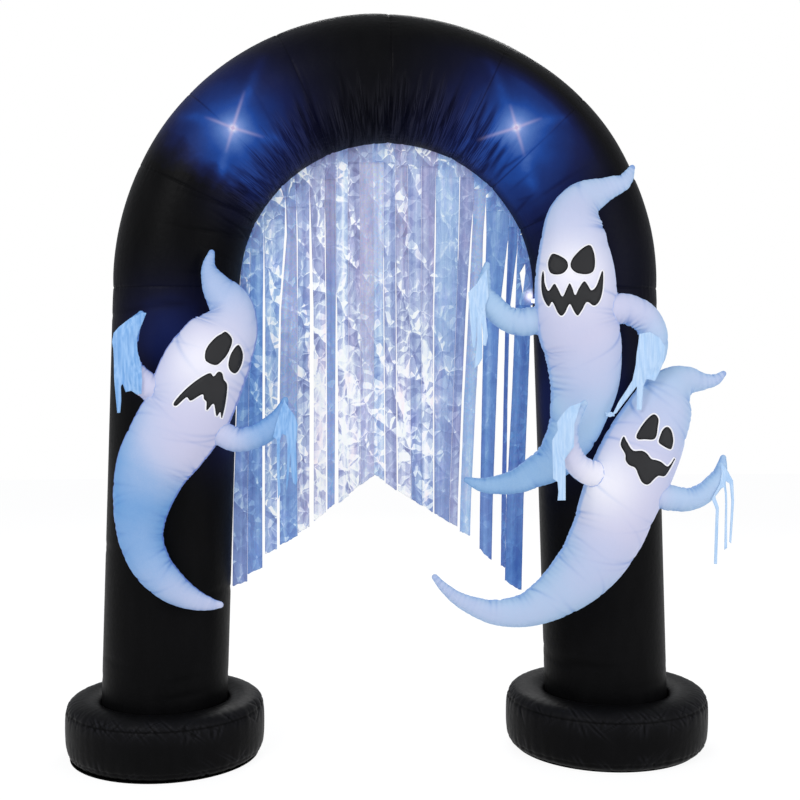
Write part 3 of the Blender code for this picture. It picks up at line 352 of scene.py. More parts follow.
def clothPaint(name, colour, deep, glowShare):
    paint = Paint(name, {"Roughness": 0.75, "Specular IOR Level": 0.2, "Emission Strength": 1.0})
    place = paint.place()
    foldShading = paint.noise(paint.stretched(place, (6, 6, 0.5)), 22, detail=3)
    # foldShading: painted shade of vertical folds, towards the deep colour
    tint = paint.mix(((foldShading - 0.5) * 3.4 + 0.5).limited(), deep, colour)
    paint.lightThrough(tint, (0.62, 0.62, 0.63), (glowShare,) * 3)
    weave = paint.noise(place, 1100, detail=1)
    return paint.feed(normal=paint.bump(weave, 0.15, 0.0008, paint.bump(foldShading, 0.3, 0.003)))


def inkPaint(name, colour, glowShare=0.0):
    paint = Paint(name, {"Roughness": 0.6, "Specular IOR Level": 0.2, "Emission Strength": 1.0})
    place = paint.place()
    tint = paint.mix(paint.noise(place, 30, detail=3), tuple(0.8 * part for part in colour), colour)
    paint.lightThrough(tint, (1.0, 1.0, 1.0), (glowShare,) * 3)
    return paint.feed(normal=paint.bump(paint.noise(place, 1300, detail=1), 0.1, 0.0005))


def plasticPaint(name, colour, roughness):
    paint = Paint(name, {"Roughness": roughness, "Specular IOR Level": 0.4})
    place = paint.place()
    grain = paint.noise(place, 700, detail=2)
    worn = paint.mix(paint.noise(place, 35, detail=4), colour, tuple(1.5 * part + 0.004 for part in colour))
    return paint.feed(baseColor=worn, roughness=grain * 0.2 + (roughness - 0.1),
                      normal=paint.bump(grain, 0.2, 0.0008))


def webbingPaint():
    paint = Paint("webbing", {"Roughness": 0.8, "Specular IOR Level": 0.25})
    x, y, z = paint.parts(paint.place())
    threads = 2600        # radians to the metre
    ribs = ((x + y) * threads).sine() * (z * threads).sine()
    return paint.feed(baseColor=paint.mix(ribs * 0.5 + 0.5, (0.010, 0.010, 0.011), (0.035, 0.035, 0.038)),
                      normal=paint.bump(ribs, 0.4, 0.0008))


def metalPaint():
    paint = Paint("platedZinc", {"Roughness": 0.3, "Metallic": 1.0})
    brushed = paint.noise(paint.stretched(paint.place(), (1, 1, 14)), 160, detail=3)
    return paint.feed(baseColor=paint.mix(brushed, (0.46, 0.46, 0.48), (0.62, 0.62, 0.64)),
                      roughness=brushed * 0.2 + 0.22, normal=paint.bump(brushed, 0.1, 0.0005))


def lensPaint():
    paint = Paint("lampLens", {"Roughness": 0.15, "Emission Strength": 1.0})
    ribs = paint.cells(paint.place(), 420)
    return paint.feed(baseColor=paint.mix(ribs, (0.80, 0.86, 1.0), (0.62, 0.72, 0.95)),
                      emission=paint.mix(ribs, (0.80, 0.80, 0.95), (0.60, 0.62, 0.90)),
                      normal=paint.bump(ribs, 0.3, 0.001))


paints = {
    "blackNylon": blackNylonPaint(),
    "leftGhost": ghostPaint("leftGhostNylon", (0.17, 0.40, 0.76), (0.34, 0.52, 0.82), (0.12, 0.22, 0.66)),
    "rightGhost": ghostPaint("rightGhostNylon", (0.26, 0.49, 0.80), (0.47, 0.67, 0.90), (0.30, 0.50, 0.86)),
    "film": filmPaint(),
    "leftCloth": clothPaint("leftHandCloth", (0.31, 0.51, 0.80), (0.17, 0.36, 0.68), 0.40),
    "rightCloth": clothPaint("rightHandCloth", (0.50, 0.66, 0.86), (0.38, 0.56, 0.80), 0.40),
    "seamThread": clothPaint("seamThread", (0.50, 0.58, 0.84), (0.36, 0.46, 0.76), 0.35),
    "ink": inkPaint("printedGrey", (0.024, 0.024, 0.026)),
    "inkEdge": inkPaint("printedEdge", (0.004, 0.004, 0.005)),
    "inkHalo": inkPaint("paleHalo", (0.55, 0.55, 0.58), 0.75),
    "blackPlastic": plasticPaint("blackPlastic", (0.012, 0.012, 0.013), 0.42),
    "greyPlastic": plasticPaint("greyPlastic", (0.10, 0.10, 0.11), 0.45),
    "webbing": webbingPaint(),
    "zinc": metalPaint(),
    "lens": lensPaint(),
    "sandbag": clothPaint("sandbagCloth", (0.05, 0.05, 0.055), (0.025, 0.025, 0.028), 0.0),
}
print("materials made:", len(paints))


def makePiece(name, points, faces, paint, body="arch", replaced=(), values=None, slot=None, wall=None):
    mesh = bpy.data.meshes.new(name)
    mesh.from_pydata([tuple(map(float, point)) for point in points], [], faces)
    mesh.validate()
    mesh.shade_smooth()
    for key, numbers in (values or {}).items():
        mesh.attributes.new(key, "FLOAT", "POINT").data.foreach_set("value", np.asarray(numbers, float).ravel())
    mesh.materials.append(paints[paint].material)
    piece = bpy.data.objects.new(name, mesh)
    bpy.context.scene.collection.objects.link(piece)
    if body:
        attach(piece, body)
    if replaced:
        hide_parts(*replaced)
    if wall:
        piece.modifiers.new("wall", "SOLIDIFY").thickness = wall
    return piece


def treeOf(piece):
    return BVHTree.FromObject(piece, bpy.context.evaluated_depsgraph_get())


def lattice(rows, columns, wrapped=True, start=0):
    faces = []
    for row in range(rows - 1):
        low, high = start + row * columns, start + (row + 1) * columns
        for column in range(columns if wrapped else columns - 1):
            after = (column + 1) % columns
            faces.append((low + column, low + after, high + after, high + column))
    return faces


def ringLattice(rows, columns):        # closed both ways
    return [tuple(k % (rows * columns) for k in face) for face in lattice(rows + 1, columns)]


def tubeEnds(rows, sides):        # the two faces that close a tube of rings
    last = (rows - 1) * sides
    return [tuple(range(sides))[::-1], tuple(last + k for k in range(sides))]


def roundAngles(count):
    return np.arange(count) * 2 * math.pi / count


def turned(angle):        # brought between minus and plus half a turn
    return (angle + math.pi) % (2 * math.pi) - math.pi


def bell(away, width):
    return np.exp(-(away / width) ** 2)


def unit(vectors):
    return vectors / np.linalg.norm(vectors, axis=1)[:, None]


def travelAlong(points):
    return np.concatenate([[0], np.cumsum(np.linalg.norm(np.diff(points, axis=0), axis=1))])


def wobble(seed, *axes):        # smooth wandering between -1 and 1 over any number of axes
    chance = random.Random(seed)
    total = 0
    for _ in range(6):
        turn = sum(chance.uniform(-1, 1) * axis for axis in axes)
        total = total + np.sin(turn * 2 + chance.uniform(0, 6.28))
    return total / 6


def creaseWave(seed, travel, spacing, width):        # narrow folds at uneven places along a line
    chance = random.Random(seed)
    wave = np.zeros_like(travel)
    place = float(travel.min())
    while place < travel.max():
        narrow = width * chance.uniform(0.7, 1.5)
        wave -= chance.uniform(0.45, 1.0) * bell(travel - place, narrow)
        place += spacing * chance.uniform(0.55, 1.5)
    return wave


def curveThrough(rows, spacing, closed=False):        # evenly spaced points on a smooth curve
    rows = np.array(rows, float)
    padded = np.vstack([rows[-1:], rows, rows[:2]]) if closed else np.vstack([rows[:1], rows, rows[-1:]])
    steps = np.linspace(0, 1, 24, endpoint=False)[:, None]
    dense = []
    for before, start, end, after in zip(padded, padded[1:], padded[2:], padded[3:]):
        dense.append(0.5 * (2 * start + (end - before) * steps
                            + (2 * before - 5 * start + 4 * end - after) * steps ** 2
                            + (3 * start - before - 3 * end + after) * steps ** 3))
    dense = np.vstack(dense + [rows[:1] if closed else rows[-1:]])
    travel = travelAlong(dense[:, :2])
    count = max(int(travel[-1] / spacing), 4)
    goal = np.linspace(0, travel[-1], count + 1)[:count + (0 if closed else 1)]
    return np.stack([np.interp(goal, travel, dense[:, k]) for k in range(dense.shape[1])], -1)


def tubeAlong(path, radius, sides=8, closed=True):        # thin cord of thread or piping
    path = np.array(path, float)
    ahead = np.roll(path, -1, 0) - np.roll(path, 1, 0)
    if not closed:
        ahead[0], ahead[-1] = path[1] - path[0], path[-1] - path[-2]
    ahead = unit(ahead)
    side = unit(np.cross(ahead, (0.31, 0.87, 0.39)))
    up = np.cross(side, ahead)
    turn = roundAngles(sides)[:, None]
    ring = side[:, None] * np.cos(turn) + up[:, None] * np.sin(turn)
    points = (path[:, None] + ring * radius).reshape(-1, 3)
    rings = len(path)
    return points, ringLattice(rings, sides) if closed else lattice(rings, sides) + tubeEnds(rings, sides)


# Arch skin
def archCentre(station):
    half = arch["springHalf"]
    turn = np.clip(station / half, 0, math.pi)
    drop = np.maximum(-station, 0) + np.maximum(station - math.pi * half, 0)
    spread = half + arch["splay"] * drop / arch["springHeight"]
    outward = np.stack([np.cos(turn), 0 * turn, np.sin(turn)], -1)
    centre = np.stack([np.cos(turn) * spread, 0 * turn + archY,
                       arch["springHeight"] + np.sin(turn) * half - drop], -1)
    return centre, outward, turn, drop


def archStations():
    half = arch["springHalf"]
    crown = math.pi * half
    leg = arch["springHeight"] - arch["footHeight"]
    stations = list(np.arange(-leg, 0, arch["legStep"]))
    stations += list(np.arange(0, crown, arch["crownStep"]))
    stations += list(np.arange(crown, crown + leg, arch["legStep"])) + [crown + leg]
    for seam in arch["seams"]:
        at = math.radians(seam) * half
        stations = [s for s in stations if abs(s - at) > 0.008]
        stations += [at + shift for shift in (-0.0066, -0.0038, -0.0019, 0, 0.0019, 0.0038, 0.0066)]
    return np.array(sorted(stations))


def archFolds(station, phi, turn, drop):
    half = arch["springHalf"]
    scale = np.where(drop > 0, 1, (half + arch["legRadius"] * np.cos(phi)) / half)
    chance = random.Random(11)
    fold = arch["sagDepth"] * wobble(3, station * 2.4, np.cos(phi) * 1.7, np.sin(phi) * 1.7)
    # crease: painted shade in the pressed folds, and darker lines along the seams, for the paint
    crease = 0 * fold

    def press(at, middle, ranges, depth=1):
        width, reach, slant, share = [chance.uniform(*span) for span in ranges]
        near = np.abs(station[:, 0] - at) < 0.16
        around = turned(phi - middle)
        shape = bell((station[near] - at) * scale[near] - slant * around, width) * bell(around, reach)
        fold[near] -= depth * share * shape
        crease[near] += depth * share / arch["darkDepth"] * shape

    for number, seam in enumerate(arch["seams"]):
        away = np.abs(station - math.radians(seam) * half) * scale
        ripple = np.sin(phi * 61 + number) * (0.6 + 0.4 * np.sin(phi * 9 + 2 * number))
        fold -= arch["grooveDepth"] * bell(away, arch["grooveWidth"])
        fold -= arch["pullDepth"] * bell(away, arch["pullWidth"])
        fold += arch["puckerDepth"] * np.exp(-away / arch["puckerReach"]) * ripple
        crease += 0.8 * bell(away, arch["seamWidth"])
    for low, high, count, depth in arch["innerFolds"]:
        for _ in range(count):
            side = chance.choice((-1, -1, 1))
            press(math.radians(chance.uniform(low, high)) * half, math.pi + side * chance.uniform(0.25, 1.25),
                  arch["innerPress"], depth)
    for _ in range(arch["legFolds"]):
        side = chance.choice((0, 1))
        height = chance.choice([chance.uniform(*span) for span in arch["legFoldHeights"]])
        at = height - arch["springHeight"] if side else math.pi * half + arch["springHeight"] - height
        press(at, chance.uniform(0, 2 * math.pi), arch["legPress"])
    return fold, np.clip(crease, 0, 1)


def makeArch():
    station = archStations()[:, None]
    phi = roundAngles(arch["around"])[None, :]
    centre, outward, turn, drop = archCentre(station[:, 0])
    fold, crease = archFolds(station, phi, turn[:, None], drop[:, None])
    trim = np.interp(np.degrees(turn), *zip(*arch["outerTrim"])) * ((station[:, 0] > 0) & (drop <= 0))
    trim = np.convolve(np.pad(trim, 20, "edge"), np.hanning(41) / np.hanning(41).sum(), "valid")
    smooth = (arch["legRadius"] + arch["crownSwell"] * np.sin(turn))[:, None]
    smooth = smooth - trim[:, None] * np.maximum(np.cos(phi), 0) ** 1.3

    def skinAt(radius):
        points = centre[:, None] + outward[:, None] * (radius * np.cos(phi))[..., None]
        points[..., 1] -= radius * np.sin(phi)
        return points

    points = skinAt(smooth + 0 * fold)
    for lamp in ("left_crown_lamp", "right_crown_lamp"):        # taut over the lamps
        away = np.linalg.norm(points - np.array(sum(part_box(lamp), Vector()) / 2), axis=-1)
        fold = np.where(fold < 0, fold * (1 - np.exp(-(away / arch["tautFolds"]) ** 4)), fold)
        crease = crease * (1 - 0.9 * np.exp(-(away / arch["tautCreases"]) ** 4))
    return makePiece("archSkin", skinAt(smooth + fold).reshape(-1, 3), lattice(len(station), arch["around"]),
                     "blackNylon", replaced=("crown_skin", "left_leg_skin", "right_leg_skin"),
                     values={"crease": crease})


archSkin = makeArch()
print("arch skin made")


# Round bases
base = {
    "around": 320, "spacing": 0.005,
    "profile": ((0.2330, 0.150), (0.2335, 0.196), (0.246, 0.212), (0.276, 0.2225), (0.312, 0.2240),
                (0.346, 0.2160), (0.366, 0.2010), (0.3745, 0.1850), (0.3785, 0.160), (0.3795, 0.110),
                (0.3775, 0.060), (0.371, 0.028), (0.357, 0.010), (0.340, 0.0045), (0.300, 0.0042)),
    "flank": 0.3, "underside": 0.0042, "sagDepth": 0.0026, "grooveDepth": 0.0022, "grooveWidth": 0.004,
    "seamHeight": 0.185, "lowSeamHeight": 0.030, "pleatDepth": 0.0042, "pleatReach": 0.030,
    "pleatWidth": 0.022, "pleats": ((1.0, 0.085), (0.8, 0.10), (0.9, 0.14)),        # share, spacing
    "seamDark": 0.8, "seamDarkWidth": 0.003, "seamSheen": 0.16, "seamSheenDrop": 0.01, "seamSheenWidth": 0.045,
    "tucks": 150, "tuckDepth": 0.0030, "tuckWidth": 0.0055, "tuckRun": (0.012, 0.030), "tuckShift": 0.03,
    "tuckLean": 1.6, "tuckRadius": 0.37, "tuckDarkWidth": 0.0045, "tuckSheen": 0.42, "tuckSheenAside": 0.010,
    "tuckSheenWidth": 0.0050,
    "fit": {-1: (0.968, 0.003), 1: (1.006, 0.002)},        # side: scale, shift
}


def makeBase(name, side, node):
    low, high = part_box(node + "_ring")
    scale, shift = base["fit"][side]
    centre = ((low.x + high.x) / 2 + shift, archY)
    profile = [(r * scale if r > base["flank"] else r, z) for r, z in base["profile"]]
    rows = curveThrough(profile, base["spacing"])
    travel = travelAlong(rows)
    normal = -unit(np.stack([np.gradient(rows[:, 1]), -np.gradient(rows[:, 0])], -1))
    angle = roundAngles(base["around"])
    inner = 9 * (rows[:, 0] <= base["flank"])

    def seamAt(height):
        return travel[np.argmin(np.abs(rows[:, 1] - height) + inner)]

    seam, lowSeam, mouth = seamAt(base["seamHeight"]), seamAt(base["lowSeamHeight"]), travel[1]
    fold = base["sagDepth"] * wobble(21 + side, 2.2 * np.cos(angle)[None], 2.2 * np.sin(angle)[None],
                                     9 * travel[:, None])
    for number, (at, (share, spacing)) in enumerate(zip((seam, lowSeam, mouth), base["pleats"])):
        away = np.abs(travel - at)[:, None]
        wave = creaseWave(31 + side + number, angle, spacing, base["pleatWidth"])[None]
        fold = fold + base["pleatDepth"] * share * wave * np.exp(-away / base["pleatReach"])
        fold = fold - base["grooveDepth"] * bell(away, base["grooveWidth"])
    past = (travel - seam)[:, None]
    # crease: a dark line along the seam; sheen: a painted highlight on the shoulder just below it
    crease = 0 * fold + base["seamDark"] * bell(past, base["seamDarkWidth"])
    sheen = 0 * fold + base["seamSheen"] * bell(past + base["seamSheenDrop"], base["seamSheenWidth"])
    chance = random.Random(51 + side)
    for _ in range(base["tucks"]):        # slanting wrinkles that run out from the seams, with painted shade in them and a painted highlight beside them
        at = chance.choice((seam, seam, seam, seam, lowSeam))
        turn, lean = chance.uniform(0, 2 * math.pi), chance.uniform(-base["tuckLean"], base["tuckLean"])
        down = (travel - at)[:, None]
        around = turned(angle[None] - turn) * base["tuckRadius"] - lean * down
        shift = chance.uniform(-base["tuckShift"], base["tuckShift"])
        run = bell(down - shift, chance.uniform(*base["tuckRun"]))
        strength = chance.uniform(0.4, 1) * run
        beside = np.abs(around) - base["tuckSheenAside"]
        fold = fold - base["tuckDepth"] * strength * bell(around, base["tuckWidth"])
        crease = crease + strength * bell(around, base["tuckDarkWidth"])
        sheen = sheen + base["tuckSheen"] * strength * bell(beside, base["tuckSheenWidth"])
    crease = np.clip(crease, 0, 1)
    push = normal[:, None] * fold[..., None]
    radius = rows[:, 0][:, None] + push[..., 0]
    height = np.maximum(rows[:, 1][:, None] + push[..., 1], base["underside"])
    points = np.stack([centre[0] + radius * np.cos(angle), centre[1] + radius * np.sin(angle), height], -1)
    makePiece(name, points.reshape(-1, 3), lattice(len(rows), base["around"]), "blackNylon",
              replaced=(node + "_ring",), values={"sheen": sheen * (1 - crease), "crease": crease})


for side, name in ((-1, "left"), (1, "right")):
    makeBase(name + "Base", side, name + "_base")
print("bases made")


floorCloth = {"rings": 24, "around": 96, "creaseDepth": 0.0012}


def makeFloorCloth(name, node):        # a thin disc, lightly creased
    low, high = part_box(node)
    middle = (low + high) / 2
    radius = (high.x - low.x) / 2
    rings, around = floorCloth["rings"], floorCloth["around"]
    points = [(middle.x, middle.y, high.z)]
    for ring in range(1, rings + 1):
        reach = radius * ring / rings
        for k in range(around):
            turn = 2 * math.pi * k / around
            crease = floorCloth["creaseDepth"] * max(0, math.sin(3 * turn + 9 * reach)) ** 6
            points.append((middle.x + reach * math.cos(turn), middle.y + reach * math.sin(turn),
                           high.z - crease))
    points += [(x, y, low.z) for x, y, z in points]
    half = len(points) // 2
    faces = [(0, 1 + k, 1 + (k + 1) % around) for k in range(around)] + lattice(rings, around, start=1)
    faces += [tuple(half + k for k in face[::-1]) for face in faces]
    rim = 1 + (rings - 1) * around
    faces += [(rim + k, half + rim + k, half + rim + (k + 1) % around, rim + (k + 1) % around)
              for k in range(around)]
    makePiece(name, points, faces, "blackNylon", replaced=(node,))


sandbag = {"rows": 40, "around": 72, "roundness": 0.45, "flatness": 0.8, "broadLump": 0.03, "fineLump": 0.015}


def makeSandbag(name, node, seed):
    low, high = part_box(node)
    middle, size = (low + high) / 2, (high - low) / 2
    rows, around = sandbag["rows"], sandbag["around"]
    points = []
    for row in range(rows):
        lift = math.pi * (row + 0.5) / rows - math.pi / 2
        reach = max(math.cos(lift), 0) ** sandbag["roundness"]
        tall = math.copysign(abs(math.sin(lift)) ** sandbag["flatness"], lift)
        for k in range(around):
            turn = 2 * math.pi * k / around
            lump = 1 - sandbag["broadLump"] * abs(math.sin(3.1 * turn + seed))
            lump -= sandbag["fineLump"] * abs(math.sin(9 * turn + 5 * lift))
            points.append((middle.x + size.x * reach * lump * math.cos(turn),
                           middle.y + size.y * reach * lump * math.sin(turn), middle.z + size.z * tall * lump))
    bag = makePiece(name, points, lattice(rows, around) + tubeEnds(rows, around), "sandbag", replaced=(node,))


for name in ("left", "right"):
    makeFloorCloth(name + "FloorCloth", name + "_base_floor")
for seed, name in enumerate(("left", "right"), start=1):
    makeSandbag(name + "Sandbag", name + "_ballast_bag", seed)
print("floor cloths and sandbags made")


# Curtain
curtain = {
    "radius": 0.545, "cell": 0.0075, "row": 0.010, "crumple": 0.0060, "depth": 0.0055, "wall": 0.0004,
    "hem": 0.0035, "hemTurn": 0.0015, "jag": 0.002, "footShift": 0.006, "footHeight": 0.80, "freeRun": 0.08,
    "sewnBelow": 0.0025, "seamGap": 0.0006, "spreadAbove": 0.6, "spreadBelow": 0.5,
    "crumples": 7, "crumpleWave": (0.025, 0.090), "toneMiddle": 0.52, "toneShare": 1.3,
    "foldShadingWidth": (0.004, 0.008),
    "leftTones": (0.02, -0.16, 0.0), "rightTones": (0.0, -0.12, 0.06),        # how much brighter each hem is
    "bandCell": 0.0065, "bandDepth": 0.13, "bandForward": 0.0015, "bandWall": 0.0005,
    "heights": (1.929, 1.651, 1.316, 0.940),
    "groups": (1, 1, 1, 2, 3, 4, 3, 2, 1, 1, 1, 1),
    "foot": ((-0.600, 0.612), (-0.5789, 0.6224), (-0.5306, 0.6444), (-0.5230, 0.6608), (-0.4783, 0.6889),
             (-0.4781, 0.7153), (-0.4706, 0.7242), (-0.3713, 0.7893), (-0.0477, 1.0372), (0.3491, 0.7696),
             (0.3663, 0.7389), (0.3935, 0.7058), (0.4275, 0.6847), (0.4486, 0.6730), (0.4502, 0.6424),
             (0.4671, 0.6192), (0.5056, 0.5900), (0.600, 0.580)),
    # tops of the slits that run up into the band, after strip 2, 3 and so on
    "slits": {2: (-0.4565, 1.974), 3: (-0.3765, 2.070), 4: (-0.3380, 2.114), 5: (-0.2880, 2.107),
              6: (-0.2330, 2.166), 15: (0.1790, 2.160), 17: (0.3222, 2.0637), 18: (0.3670, 2.058),
              19: (0.4523, 1.9385), 20: (0.4860, 1.886)},
    "lowSlits": {7: (-0.1915, 1.76)},        # starts below the hinge
    "kite": ((0.5151, 1.8235), (0.5165, 1.790), (0.5070, 1.7115), (0.4952, 1.790)),
    "rainbow": {3: 0.35, 6: 0.4, 9: 0.28, 10: 0.34, 12: 0.2, 17: 0.3},        # strips that shimmer in colours
}
# each strip at the four heights: left and right edge in tenths of a millimetre, then how blue, how bright and
# how crushed the film is, in percent
stripTable = (
    ((-5333, -5074, 80, 45, 20), (-5406, -5110, 90, 40, 20), (-5594, -5168, 95, 38, 20),
     (-5745, -5234, 55, 32, 25)),
    ((-5058, -4600, 60, 50, 30), (-5094, -4623, 95, 42, 20), (-5152, -4653, 95, 40, 30),
     (-5220, -4682, 85, 36, 20)),
    ((-4530, -3807, 50, 55, 50), (-4535, -4016, 70, 60, 50), (-4561, -4103, 70, 55, 50),
     (-4586, -4137, 50, 50, 50)),
    ((-3722, -3366, 50, 35, 20), (-3953, -3352, 80, 42, 20), (-4018, -3359, 80, 42, 30),
     (-4037, -3375, 80, 42, 30)),
    ((-3322, -2898, 30, 50, 40), (-3330, -2886, 50, 50, 40), (-3350, -2910, 30, 60, 80),
     (-3368, -2935, 10, 55, 70)),
    ((-2821, -2334, 10, 45, 50), (-2749, -2305, 20, 55, 70), (-2750, -2308, 0, 72, 90),
     (-2768, -2320, 0, 62, 80)),
    ((-2297, -1942, 15, 28, 10), (-2276, -1931, 75, 35, 10), (-2264, -1959, 85, 40, 20),
     (-2260, -1991, 90, 45, 15)),
    ((-1920, -1476, 45, 60, 30), (-1875, -1467, 30, 60, 70), (-1847, -1467, 5, 78, 100),
     (-1842, -1472, 10, 68, 90)),
    ((-1458, -1032, 5, 45, 70), (-1453, -1029, 10, 55, 60), (-1456, -1023, 5, 72, 100),
     (-1460, -1018, 0, 60, 90)),
    ((-1017, -542, 10, 42, 10), (-1014, -523, 10, 45, 20), (-1009, -519, 10, 55, 40),
     (-1004, -523, 15, 50, 30)),
    ((-520, -164, 50, 55, 20), (-501, -158, 60, 60, 40), (-501, -138, 50, 70, 90), (-501, -125, 60, 60, 60)),
    ((-141, 283, 30, 50, 30), (-128, 297, 30, 50, 40), (-101, 319, 10, 55, 50), (-73, 344, 5, 42, 40)),
    ((305, 755, 5, 42, 50), (327, 797, 10, 50, 60), (356, 844, 5, 72, 100), (401, 875, 10, 66, 90)),
    ((774, 1244, 25, 52, 30), (816, 1239, 20, 55, 50), (859, 1264, 30, 50, 60), (894, 1290, 50, 38, 30)),
    ((1266, 1751, 5, 40, 20), (1261, 1692, 15, 50, 50), (1283, 1696, 20, 75, 100), (1313, 1702, 40, 66, 90)),
    ((1804, 2638, 60, 55, 20), (1740, 2558, 60, 52, 30), (1745, 2453, 45, 45, 40), (1758, 2333, 45, 34, 15)),
    ((2664, 3099, 20, 42, 20), (2581, 2923, 40, 40, 20), (2472, 2777, 30, 42, 30), (2356, 2647, 10, 48, 40)),
    ((3159, 3572, 80, 42, 10), (3032, 3499, 85, 45, 10), (2868, 3306, 85, 50, 10), (2742, 3144, 85, 55, 10)),
    ((3692, 4339, 80, 40, 10), (3612, 4207, 90, 35, 10), (3548, 4093, 85, 35, 15), (3485, 3971, 80, 28, 10)),
    ((4549, 4798, 95, 35, 10), (4426, 4585, 100, 30, 10), (4366, 4517, 100, 30, 20), (4306, 4474, 100, 30, 20)),
    ((4919, 5202, 95, 30, 10), (4789, 5387, 100, 28, 10), (4669, 5277, 100, 30, 20), (4497, 5144, 100, 26, 15)),
)


def stripsAt(z):        # edges and looks of all the strips at some heights: strip, value, height
    table = np.array(stripTable, float) * np.array((1e-4, 1e-4, 0.01, 0.01, 0.01))
    heights = np.array(curtain["heights"])
    found = np.stack([[np.interp(z, heights[::-1], strip[::-1, k]) for k in range(5)] for strip in table])
    above = np.maximum(z - heights[0], 0) * curtain["spreadAbove"]
    below = np.maximum(heights[3] - z, 0) * curtain["spreadBelow"]
    for k in (0, 1):
        found[:, k] += (table[:, 0, k] - table[:, 1, k])[:, None] / (heights[0] - heights[1]) * above
        found[:, k] += (table[:, 3, k] - table[:, 2, k])[:, None] / (heights[2] - heights[3]) * below
    for after, (x, apex) in {**curtain["slits"], **curtain["lowSlits"]}.items():        # slits close to a point
        low = heights[0] if apex > 2 else heights[1]
        for strip, edge, side in ((after - 1, 1, -1e-4), (after, 0, 1e-4)):
            start = np.interp(low, heights[::-1], table[strip, ::-1, edge])
            reach = np.clip((z - low) / (apex - low), 0, 1)
            found[strip, edge] = np.where(z > low, start + (x + side - start) * reach, found[strip, edge])
    gap = found[1:, 0] - found[:-1, 1]
    middle = (found[1:, 0] + found[:-1, 1]) / 2
    close = gap < curtain["sewnBelow"]
    found[1:, 0] = np.where(close, middle + curtain["seamGap"] / 2, found[1:, 0])
    found[:-1, 1] = np.where(close, middle - curtain["seamGap"] / 2, found[:-1, 1])
    return found


def crumple(points, seed):
    x, z = points[:, 0], points[:, 2]
    fold = 0
    chance = random.Random(seed)
    for _ in range(curtain["crumples"]):
        angle, wave = chance.uniform(0, math.pi), chance.uniform(*curtain["crumpleWave"])
        bend = chance.uniform(-1, 1) * 3
        fold = fold + np.abs(np.sin((x * math.cos(angle) + z * math.sin(angle)) * math.pi / wave
                                    + bend * np.sin(9 * x + 7 * z) + chance.uniform(0, 6)))
    return (fold / curtain["crumples"] - 0.6) * curtain["crumple"]


def stripSheet(k, top, seed):
    chance = random.Random(seed)
    left, right = stripsAt(np.array([curtain["footHeight"]]))[k, :2, 0]
    hem, turn, jagged, shift = [curtain[key] for key in ("hem", "hemTurn", "jag", "footShift")]
    columns = max(3, round((right - left - 2 * hem) / curtain["cell"]))
    share = np.concatenate([[0, 0, 0], np.linspace(0, 1, columns + 2)[1:-1], [1, 1, 1]])
    offset = np.concatenate([[0, turn, hem], hem - 2 * hem * share[3:-3], [-hem, -turn, 0]])
    jag = [chance.uniform(-jagged, jagged) for _ in share]
    level = 0.35 if k < 5 or k > 15 else 0.1        # how square the strip's own foot is cut
    foot = np.interp(left + (right - left) * (level * 0.5 + (1 - level) * share), *zip(*curtain["foot"]))
    foot = foot + chance.uniform(-shift, shift) + jag
    rows = round((top - foot.min()) / curtain["row"])
    z = top + (foot[None] - top) * np.linspace(0, 1, rows)[:, None]
    looks = stripsAt(z.ravel())[k].reshape(5, *z.shape)
    wide = looks[1] - looks[0]
    x = looks[0] + wide * share + offset
    free = np.clip((top - z) / curtain["freeRun"], 0, 1)
    y = archY + curtain["depth"] * wobble(110 + k, z * 2.2, share[None] * 1.1 + 0 * z) * free
    points = np.stack([x, y, z], -1).reshape(-1, 3)
    points[:, 1] += crumple(points, 130 + k) * free.ravel()
    tone = 0.50 + (looks[3] - curtain["toneMiddle"]) * curtain["toneShare"]
    tone = tone + np.concatenate([curtain["leftTones"], [0] * columns, curtain["rightTones"]])
    # two narrow painted bands down each strip, lighter or darker: the light and shade of pleats
    for _ in range(2):
        at = looks[0] + wide * chance.uniform(0.25, 0.8) + 0.004 * wobble(seed + 5, z * 2)
        strength = chance.choice((-0.12, 0.12, 0.15))
        tone = tone + strength * bell(x - at, chance.uniform(*curtain["foldShadingWidth"]))
    rainbow = curtain["rainbow"].get(k, 0.08) * np.clip(0.5 + wobble(seed + 8, z * 3), 0, 1)
    values = {"tint": looks[2], "tone": tone, "crush": looks[4], "rainbow": rainbow + 0 * z}
    area = (wide * np.gradient(-z, axis=0)).mean(1).sum()
    return points, rows, {key: value.ravel() for key, value in values.items()}, area


def makeStrips():
    start = 0
    for number, count in enumerate(curtain["groups"], start=1):
        node = "curtain_strips_%02d" % number
        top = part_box(node)[1].z
        points, faces, values, area = [], [], [], 0
        for k in range(start, start + count):
            sheet, rows, looks, part = stripSheet(k, top, 40 + 3 * k)
            faces += lattice(rows, len(sheet) // rows, wrapped=False, start=sum(len(p) for p in points))
            points.append(sheet)
            values.append(looks)
            area += part
        points = np.vstack(points)
        joined = {key: np.concatenate([v[key] for v in values]) for key in values[0]}
        strips = makePiece("curtainStrips%02d" % number, points, faces, "film", body=node, replaced=(node,),
                           values=joined, wall=curtain["wall"])
        start += count


def holds(outline, points):        # which of the points lie inside a closed outline
    inside = np.zeros(len(points), bool)
    for (x1, z1), (x2, z2) in zip(outline, outline[1:] + outline[:1]):
        if z1 != z2:
            crosses = (z1 > points[:, 1]) != (z2 > points[:, 1])
            inside ^= crosses & (points[:, 0] < (x2 - x1) * (points[:, 1] - z1) / (z2 - z1) + x1)
    return inside


